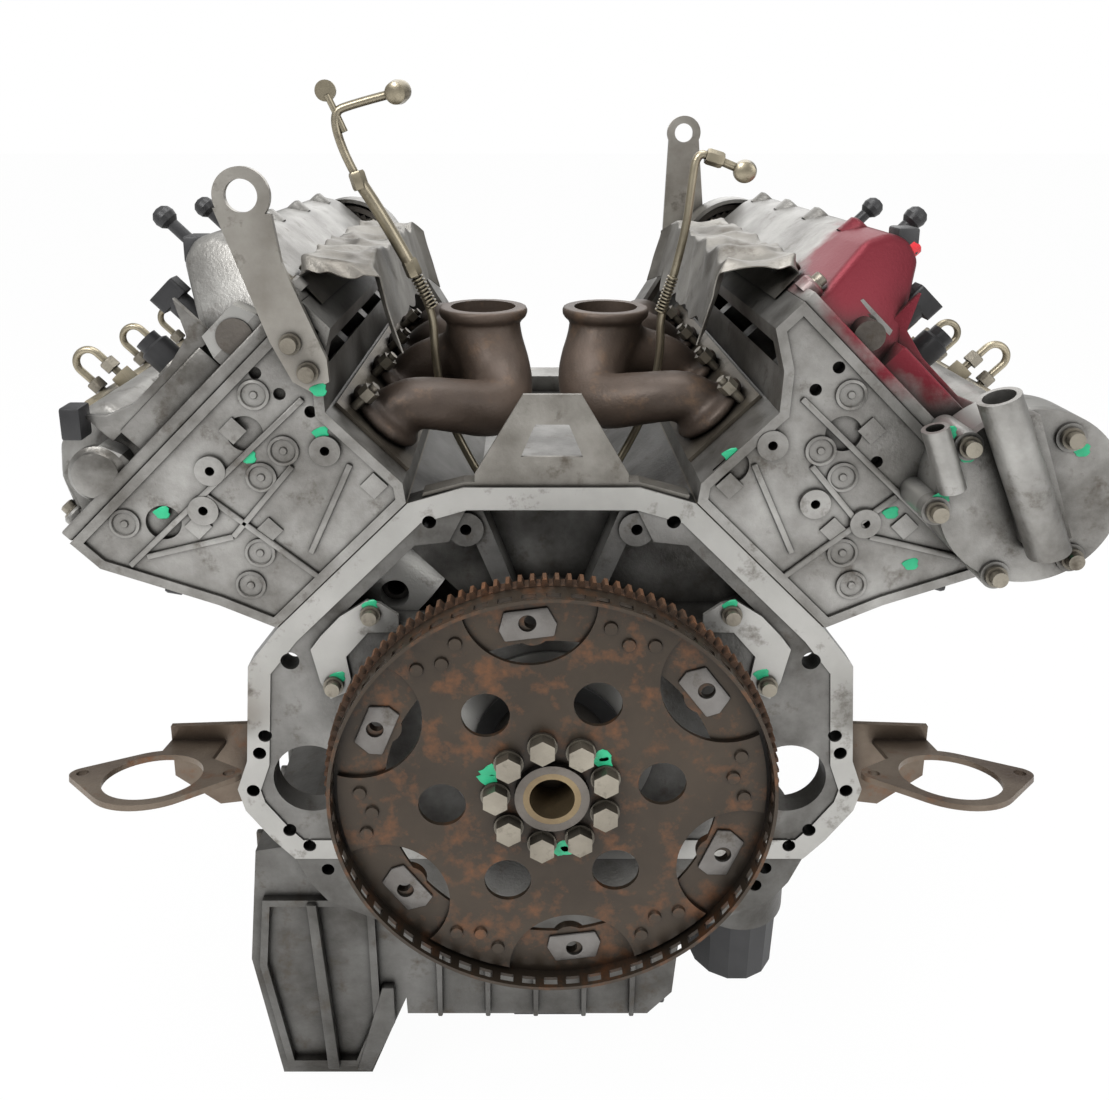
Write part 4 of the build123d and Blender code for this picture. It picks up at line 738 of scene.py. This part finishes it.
class ENGINE_OT_cam_covers(bpy.types.Operator):
    """Cast cam covers: a bolted flange, a tall and a low tower with rounded ends, wells and ribs"""

    bl_idname = "engine.cam_covers"
    bl_label = "Cam covers"

    def execute(self, context):
        for side in (LEFT, RIGHT):
            self.casting(side)
            bolt = turned([(7.5, -0.5), (7.5, 1), (5.4, 1.6), (5.2, 6.5), (3.6, 7.4)], 12)
            heads = [(bank(side, FLANGE_TOP + 6, across, y), (side, 0, 1)) for across, y in COVER_BOLT_PLACES]
            dress(repeated(bolt, heads), f"cover_bolts_{WORDS[side]}", "fastener_steel")
        return {"FINISHED"}

    def casting(self, side):
        """One side's cover, as long as the CAD's."""
        up = (side, 0, 1)
        first = FIRST_PORT[side]
        end = round(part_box(f"cam_cover_{WORDS[side]}")[1][1] * 1000, 1)
        flange = [(-123, COVER_JOINT), (-123, FLANGE_TOP), (127, FLANGE_TOP), (127, COVER_JOINT)]
        tall = [(-116, 370), (-112, 384), (-110, 428), (-99, 446), (-84, 453), (-68, 448), (-52, 416)]
        tall += [(-40, 390), (-40, 370)]
        low = [(36, 370), (37, 392), (46, 418), (60, 426), (98, 423), (113, 404), (118, 378), (118, 370)]
        trough = [(-46, 370), (-46, 394), (42, 394), (42, 370)]
        rib = [(-58, 392), (-58, 430), (-44, 405), (-20, 400), (20, 400), (40, 408), (52, 420), (52, 392)]
        parts = [bank_plate(side, flange, 0, end, 1.5)]
        parts.append(self.tower(side, tall, end))
        parts.append(self.tower(side, low, end))
        parts.append(bank_plate(side, trough, 8, end - 2, 2))
        for k in range(BORES + 1):
            y = first + BORE_PITCH * (k - 0.5)
            parts.append(bank_plate(side, rib, max(y - 3, 9), y + 3, 1))
        for k in range(BORES):
            y = first + BORE_PITCH * k
            well = turned([(19, -10), (18, 0), (15, 6), (14, 9)], 28)
            parts.append(pointed(well, bank(side, 396, 0, y), up))
            for across, height in ((-97, 442), (78, 420)):
                pad = turned([(13, -12), (12, 2), (9.5, 4)], 24)
                parts.append(pointed(pad, bank(side, height, across, y + 30), up))
        lug = turned([(9.5, -4), (9.5, 4), (8, 6)], 20)
        lugs = [(bank(side, FLANGE_TOP, across, y), up) for across, y in COVER_BOLT_PLACES]
        parts.append(repeated(lug, lugs))
        cover = joined(parts)
        finish = "red_cover" if side == RIGHT else "cover_aluminium"
        dress(cover, f"cover_casting_{WORDS[side]}", "cover_aluminium", finish)
        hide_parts(f"cam_cover_{WORDS[side]}")

    def tower(self, side, outline, end):
        """One raised bay of the cover, its two ends leaning inward towards the top."""
        bay = bank_plate(side, outline, 14, end - 2)
        for vertex in bay.data.vertices:
            rise = (side * vertex.co.x + vertex.co.z) / ROOT_TWO - 0.372
            if rise > 0:
                vertex.co.y += 0.5 * rise if vertex.co.y < 0.2 else -0.1 * rise
        return bevelled(bay, 6, 3, 20)


class ENGINE_OT_rear_faces(bpy.types.Operator):
    """Milled rim of the bell flange; rims, cast ribs, dials and an end cap on each head's rear face"""

    bl_idname = "engine.rear_faces"
    bl_label = "Rear faces"

    def execute(self, context):
        self.bell_rim()
        for side in (LEFT, RIGHT):
            self.head_relief(side)
        return {"FINISHED"}

    def bell_rim(self):
        """Milled rim of the bellhousing joint, with its bolt, dowel and starter holes."""
        half = [(63, 210), (103.2, 198), (201.5, 99.7), (226, 68), (232, -13), (241, -38), (236, -57)]
        half += [(216, -84), (200, -101)]
        rim = rim_plate(half + [(-x, z) for x, z in reversed(half)], 17, -1.2, 0.2)
        bolts = [(88, 183.5), (217, 9), (222, -6), (229, -39), (203, -75), (188, -89)]
        holes = [(x, z, 5.1) for x, z in bolts] + [(194.5, 72, 7), (184, -29, 29)]
        drills = []
        for x, z, radius in holes:
            for side in (LEFT, RIGHT):
                drill = turned([(radius, -6), (radius, 6)], 40)
                drills.append(pointed(drill, metres(side * x, 0, z), (0, 1, 0)))
        for drill in drills:
            cut(rim, drill)
        dress(rim, "bell_rim", "machined_aluminium")

    def head_relief(self, side):
        """Rim, ribs, dials and the intake bay's end cap of one head's rear face."""
        rearward = (0, -1, 0)
        outline = [(-67, 214.2), (72, 214.2), (88, 256), (127, 336), (127, COVER_JOINT)]
        outline += [(-123, COVER_JOINT), (-123, 338), (-96, 322), (-76, 300), (-76, 226)]
        corners_flat = [bank(side, height, across, 0) * 1000 for across, height in outline]
        parts = [rim_plate([(p.x, p.z) for p in corners_flat], 7, -2.2, 0.2)]
        half_width = 2.2
        ribs = [(-60, 262, 10, 236), (-30, 290, 40, 284), (40, 284, 96, 318)]
        ribs += [(-72, 318, 110, 322), (20, 220, 30, 318)]
        for t_from, a_from, t_to, a_to in ribs:
            length = math.hypot(t_to - t_from, a_to - a_from)
            nt = (a_to - a_from) / length * half_width
            na = -(t_to - t_from) / length * half_width
            strip = [(t_from + nt, a_from + na), (t_to + nt, a_to + na)]
            strip += [(t_to - nt, a_to - na), (t_from - nt, a_from - na)]
            parts.append(bank_plate(side, strip, -2.4, 0.2, 0.9))
        dials = [(-34, 302), (-8, 300), (36, 262), (60, 250), (-50, 344), (88, 346)]
        ring = turned([(11, -0.2), (11, 1.6), (9, 2.2), (8.2, 0.8), (3, 0.8), (2.4, 2.0)], 28)
        parts.append(repeated(ring, [(bank(side, height, across, 0), rearward) for across, height in dials]))
        cap = turned([(21, -4), (21, 1), (18, 3), (17, 5), (12, 6.5), (6, 7)], 40)
        parts.append(pointed(cap, bank(side, 384, 76, 6), rearward))
        dress(joined(parts), f"head_relief_{WORDS[side]}", "head_aluminium")


class ENGINE_OT_sump_details(bpy.types.Operator):
    """Cast ribs, flange lugs and bolts of the oil sump"""

    bl_idname = "engine.sump_details"
    bl_label = "Sump details"

    def execute(self, context):
        sump_face = 14.5
        panel = [(-232, -150), (-142, -150), (-140, -272), (-158, -318), (-220, -318), (-238, -214)]
        slanted = [(-196, -152), (-188, -152), (-176, -318), (-186, -318)]
        inner = [(-138, -236), (-128, -236), (-128, -272), (-150, -322), (-162, -322)]
        parts = [
            rim_plate(panel, 6, 9, sump_face),
            plate(slanted, 6, sump_face, 1.2),
            plate(inner, 8, sump_face, 1.5),
        ]
        for x in (-90, -50, -10, 30, 70):
            rib = [(x - 3, -180), (x + 3, -180), (x + 2, -266), (x - 2, -266)]
            parts.append(plate(rib, 9, sump_face, 1))
        for y in range(60, 200, 28):
            parts.append(block((-245, y, -168), (8, 5, 84), 1.5))
        dress(joined(parts), "sump_ribs", "sump_aluminium")
        bolt = turned([(8, -1), (8, 1.2), (5.6, 2), (5.4, 8), (3.8, 9)], 12)
        bolts = [(metres(x, 22 + k * 56, -115), (0, 0, -1)) for x in (-142, 142) for k in range(9)]
        lug = turned([(10, -13), (10, 0)], 20)
        lugs = [(origin + Vector((0, 0, 0.001)), direction) for origin, direction in bolts]
        dress(repeated(lug, lugs), "sump_lugs", "sump_aluminium")
        dress(repeated(bolt, bolts), "sump_bolts", "fastener_steel")
        return {"FINISHED"}


class ENGINE_OT_small_fittings(bpy.types.Operator):
    """Black connectors, pins and coil caps, a red plug and the nuts of the fuel lines"""

    bl_idname = "engine.small_fittings"
    bl_label = "Small fittings"

    def execute(self, context):
        plastic = [
            block((98, 40, -248), (15, 22, 26), 2),
            block((88, 30, -262), (24, 14, 12), 2),
            block((-339, 10, 256), (15, 18, 24), 2),
            block((262, 70, 378), (16, 22, 20), 2),
            block((-262, 70, 372), (16, 22, 20), 2),
        ]
        for x, z, side in ((-250, 121, LEFT), (256, 138, RIGHT)):
            pin = turned([(2.2, 0), (2.2, 22), (3.4, 23), (3.4, 33), (2.4, 35)], 16)
            plastic.append(pointed(pin, metres(x, 8, z), (side, -0.1, -0.25 * side)))
        banks = {side: (side, 0, 1) for side in (LEFT, RIGHT)}
        coil = turned([(12, 0), (12, 18), (9, 20), (9, 27)], 20)
        coils = [
            (bank(side, 404, 0, FIRST_PORT[side] + BORE_PITCH * k), up)
            for side, up in banks.items()
            for k in range(BORES)
        ]
        plastic.append(repeated(coil, coils))
        dress(joined(plastic), "black_fittings", "black_plastic")
        plug = turned([(8, 0), (8, 9), (6, 11)], 16)
        pointed(plug, bank(RIGHT, 446, -76, 66), banks[RIGHT])
        dress(plug, "red_plug", "black_plastic", "red_plug")
        nut = turned([(7.4, 0), (7.4, 9), (6, 10)], 6)
        rows = {LEFT: (160, 258, 356), RIGHT: (180, 278, 376)}
        nuts = [
            (bank(side, height, across, y), up)
            for height, across in ((442, 105), (446, 83))
            for side, up in banks.items()
            for y in rows[side]
        ]
        dress(repeated(nut, nuts), "fuel_nuts", "fastener_steel")
        return {"FINISHED"}


class ENGINE_OT_flexplate_pads(bpy.types.Operator):
    """Worn pads round the six converter bolt holes of the flexplate's pan"""

    bl_idname = "engine.flexplate_pads"
    bl_label = "Flexplate pads"

    def execute(self, context):
        count, first_angle = 6, 97.5
        corners_round = ((122, -17), (122, 17), (131, 20), (144, 15), (144, -15), (131, -20))
        pads = []
        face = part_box("flexplate_disc")[1][1] * 1000
        for k in range(count):
            turn = math.radians(first_angle + 360 / count * k)
            out = Vector((math.cos(turn), math.sin(turn)))
            across = Vector((-math.sin(turn), math.cos(turn)))
            outline = [out * radius + across * aside for radius, aside in corners_round]
            pad = plate([(p.x, p.y) for p in outline], face - 1.8, face + 0.2, 1.2)
            hole = metres(out.x * CONVERTER_CIRCLE, face, out.y * CONVERTER_CIRCLE)
            pads.append(cut(pad, pointed(turned([(6.2, -8), (6.2, 8)], 32), hole, (0, 1, 0))))
        dress(joined(pads), "flexplate_pads", "fastener_steel", "forged_steel", CRANK)
        return {"FINISHED"}


class ENGINE_OT_paint_dabs(bpy.types.Operator):
    """Green paint dabs beside bolts and nuts"""

    bl_idname = "engine.paint_dabs"
    bl_label = "Paint dabs"

    def execute(self, context):
        rearward = (0, -1, 0)
        reach, hub_face = 46, -55
        hub = []
        for k, shift in ((1, 0.3), (2, -0.3), (4, 0.35), (5, -0.3), (7, 0.3), (8, -0.35)):
            turn = math.radians(100 + 40 * k) + shift
            hub.append((metres(reach * math.cos(turn), hub_face, reach * math.sin(turn)), rearward))
        dress(repeated(self.dab(9), hub), "green_hub_marks", "fastener_steel", "green_mark", CRANK)
        spots = [
            (132, -3, 118), (-132, -3, 118), (158, -3, 62), (-158, -3, 60), (262, -37, 262),
            (262, -37, 216), (352, -37, 250), (346, -37, 184), (306, -37, 156), (276, -37, 246),
            (-279, -0.2, 190), (127, -0.2, 234), (-220, -0.2, 55), (262, -0.2, 150), (244, -0.2, 190),
            (-162, -0.2, 250), (-214, -0.2, 232), (-160, -9, 284),
        ]
        rear = repeated(self.dab(7), [(metres(*spot), rearward) for spot in spots])
        dress(rear, "green_marks", "fastener_steel", "green_mark")
        return {"FINISHED"}

    def dab(self, size):
        """Ragged low blob of paint."""
        blob = turned([(size, -0.4), (size * 0.92, 0.35), (size * 0.5, 0.6)], 18)
        for vertex in blob.data.vertices:
            swell = 0.75 + 0.5 * ripple.noise(vertex.co * 180)
            vertex.co.x *= swell * 1.2
            vertex.co.y *= swell * 0.8
        return blob


class ENGINE_OT_studio(bpy.types.Operator):
    """Floor, backdrop, lamps and the camera at the photograph's viewing angle"""

    bl_idname = "engine.studio"
    bl_label = "Studio"

    def execute(self, context):
        studio = context.scene.engine_studio
        self.add_floor(tuple(studio.backdrop))
        self.add_world(context)
        for name, place, size, power in LAMPS:
            self.add_lamp(name, place, size, power)
        camera = bpy.data.objects.new("photo_camera", bpy.data.cameras.new("photo_camera"))
        context.scene.collection.objects.link(camera)
        camera.location = studio.camera_place
        camera.rotation_euler = (math.pi / 2 - studio.camera_pitch, 0, 0)
        camera.data.sensor_width = SENSOR_WIDTH
        camera.data.lens = studio.focal_pixels / PHOTO_WIDTH * camera.data.sensor_width
        camera.data.shift_x = (PHOTO_WIDTH / 2 - studio.centre_pixels[0]) / PHOTO_WIDTH
        camera.data.shift_y = (studio.centre_pixels[1] - PHOTO_HEIGHT / 2) / PHOTO_WIDTH
        camera.data.clip_start = 0.01
        context.scene.camera = camera
        context.scene.view_settings.view_transform = "Standard"
        return {"FINISHED"}

    def add_floor(self, colour):
        """Plain floor under the sump, near white to the camera but still shaded by the engine."""
        clear()
        bpy.ops.mesh.primitive_plane_add(size=FLOOR_SIZE, location=(0, 0, cad_box[0][2] - FLOOR_GAP))
        floor = bpy.context.object
        floor.name = "studio_floor"
        material, nodes, links, shader, _ = new_material("studio_paper")
        shader.inputs["Base Color"].default_value = (*colour, 1.0)
        shader.inputs["Roughness"].default_value = 0.9
        glow = nodes.new("ShaderNodeEmission")
        glow.inputs["Color"].default_value = (1, 1, 1, 1)
        path = nodes.new("ShaderNodeLightPath")
        share = nodes.new("ShaderNodeMath")
        share.operation = "MULTIPLY"
        share.inputs[1].default_value = FLOOR_GLOW
        links.new(path.outputs["Is Camera Ray"], share.inputs[0])
        blend = nodes.new("ShaderNodeMixShader")
        links.new(share.outputs["Value"], blend.inputs[0])
        links.new(shader.outputs["BSDF"], blend.inputs[1])
        links.new(glow.outputs["Emission"], blend.inputs[2])
        links.new(blend.outputs["Shader"], nodes["Material Output"].inputs["Surface"])
        floor.data.materials.append(material)

    def add_world(self, context):
        """Soft light that grows towards the zenith, white where the camera sees it."""
        world = bpy.data.worlds.new("studio_light")
        world.use_nodes = True
        nodes, links = world.node_tree.nodes, world.node_tree.links
        direction = nodes.new("ShaderNodeTexCoord")
        upward = nodes.new("ShaderNodeSeparateXYZ")
        links.new(direction.outputs["Generated"], upward.inputs[0])
        sky = nodes.new("ShaderNodeMapRange")
        for name, limit in (("From Min", -0.3), ("From Max", 0.9), ("To Min", 0.08), ("To Max", 0.8)):
            sky.inputs[name].default_value = limit
        links.new(upward.outputs["Z"], sky.inputs["Value"])
        path = nodes.new("ShaderNodeLightPath")
        strength = nodes.new("ShaderNodeMapRange")
        strength.inputs["To Max"].default_value = 1.0
        links.new(sky.outputs["Result"], strength.inputs["To Min"])
        links.new(path.outputs["Is Camera Ray"], strength.inputs["Value"])
        links.new(strength.outputs["Result"], nodes["Background"].inputs["Strength"])
        nodes["Background"].inputs["Color"].default_value = (1, 1, 1, 1)
        context.scene.world = world

    def add_lamp(self, name, place, size, power):
        """Square soft lamp aimed at the engine's middle."""
        lamp = bpy.data.objects.new(name, bpy.data.lights.new(name, "AREA"))
        bpy.context.scene.collection.objects.link(lamp)
        lamp.data.size = size
        lamp.data.energy = power
        lamp.location = place
        aim = Vector(place) - Vector(LAMP_TARGET)
        lamp.rotation_euler = aim.to_track_quat("Z", "Y").to_euler()


class ENGINE_PT_panel(bpy.types.Panel):
    bl_label = "V8 Engine"
    bl_idname = "ENGINE_PT_panel"
    bl_space_type = "VIEW_3D"
    bl_region_type = "UI"
    bl_category = "Engine"

    def draw(self, context):
        for row in BUILD_STEPS:
            self.layout.operator(row.bl_idname)


BUILD_STEPS = (
    ENGINE_OT_finish_castings,
    ENGINE_OT_exhaust_manifolds,
    ENGINE_OT_heat_shields,
    ENGINE_OT_feed_lines,
    ENGINE_OT_cam_covers,
    ENGINE_OT_rear_faces,
    ENGINE_OT_sump_details,
    ENGINE_OT_small_fittings,
    ENGINE_OT_flexplate_pads,
    ENGINE_OT_paint_dabs,
    ENGINE_OT_studio,
)
CLASSES = (EngineFinishSettings, EngineStudioSettings, *BUILD_STEPS, ENGINE_PT_panel)


def register():
    for entry in CLASSES:
        bpy.utils.register_class(entry)
    bpy.types.Scene.engine_finish = bpy.props.PointerProperty(type=EngineFinishSettings)
    bpy.types.Scene.engine_studio = bpy.props.PointerProperty(type=EngineStudioSettings)


def unregister():
    del bpy.types.Scene.engine_finish
    del bpy.types.Scene.engine_studio
    for entry in reversed(CLASSES):
        bpy.utils.unregister_class(entry)


def main():
    register()
    clear()
    for step in BUILD_STEPS:
        group, name = step.bl_idname.split(".")
        getattr(getattr(bpy.ops, group), name)()


if __name__ == "__main__":
    main()
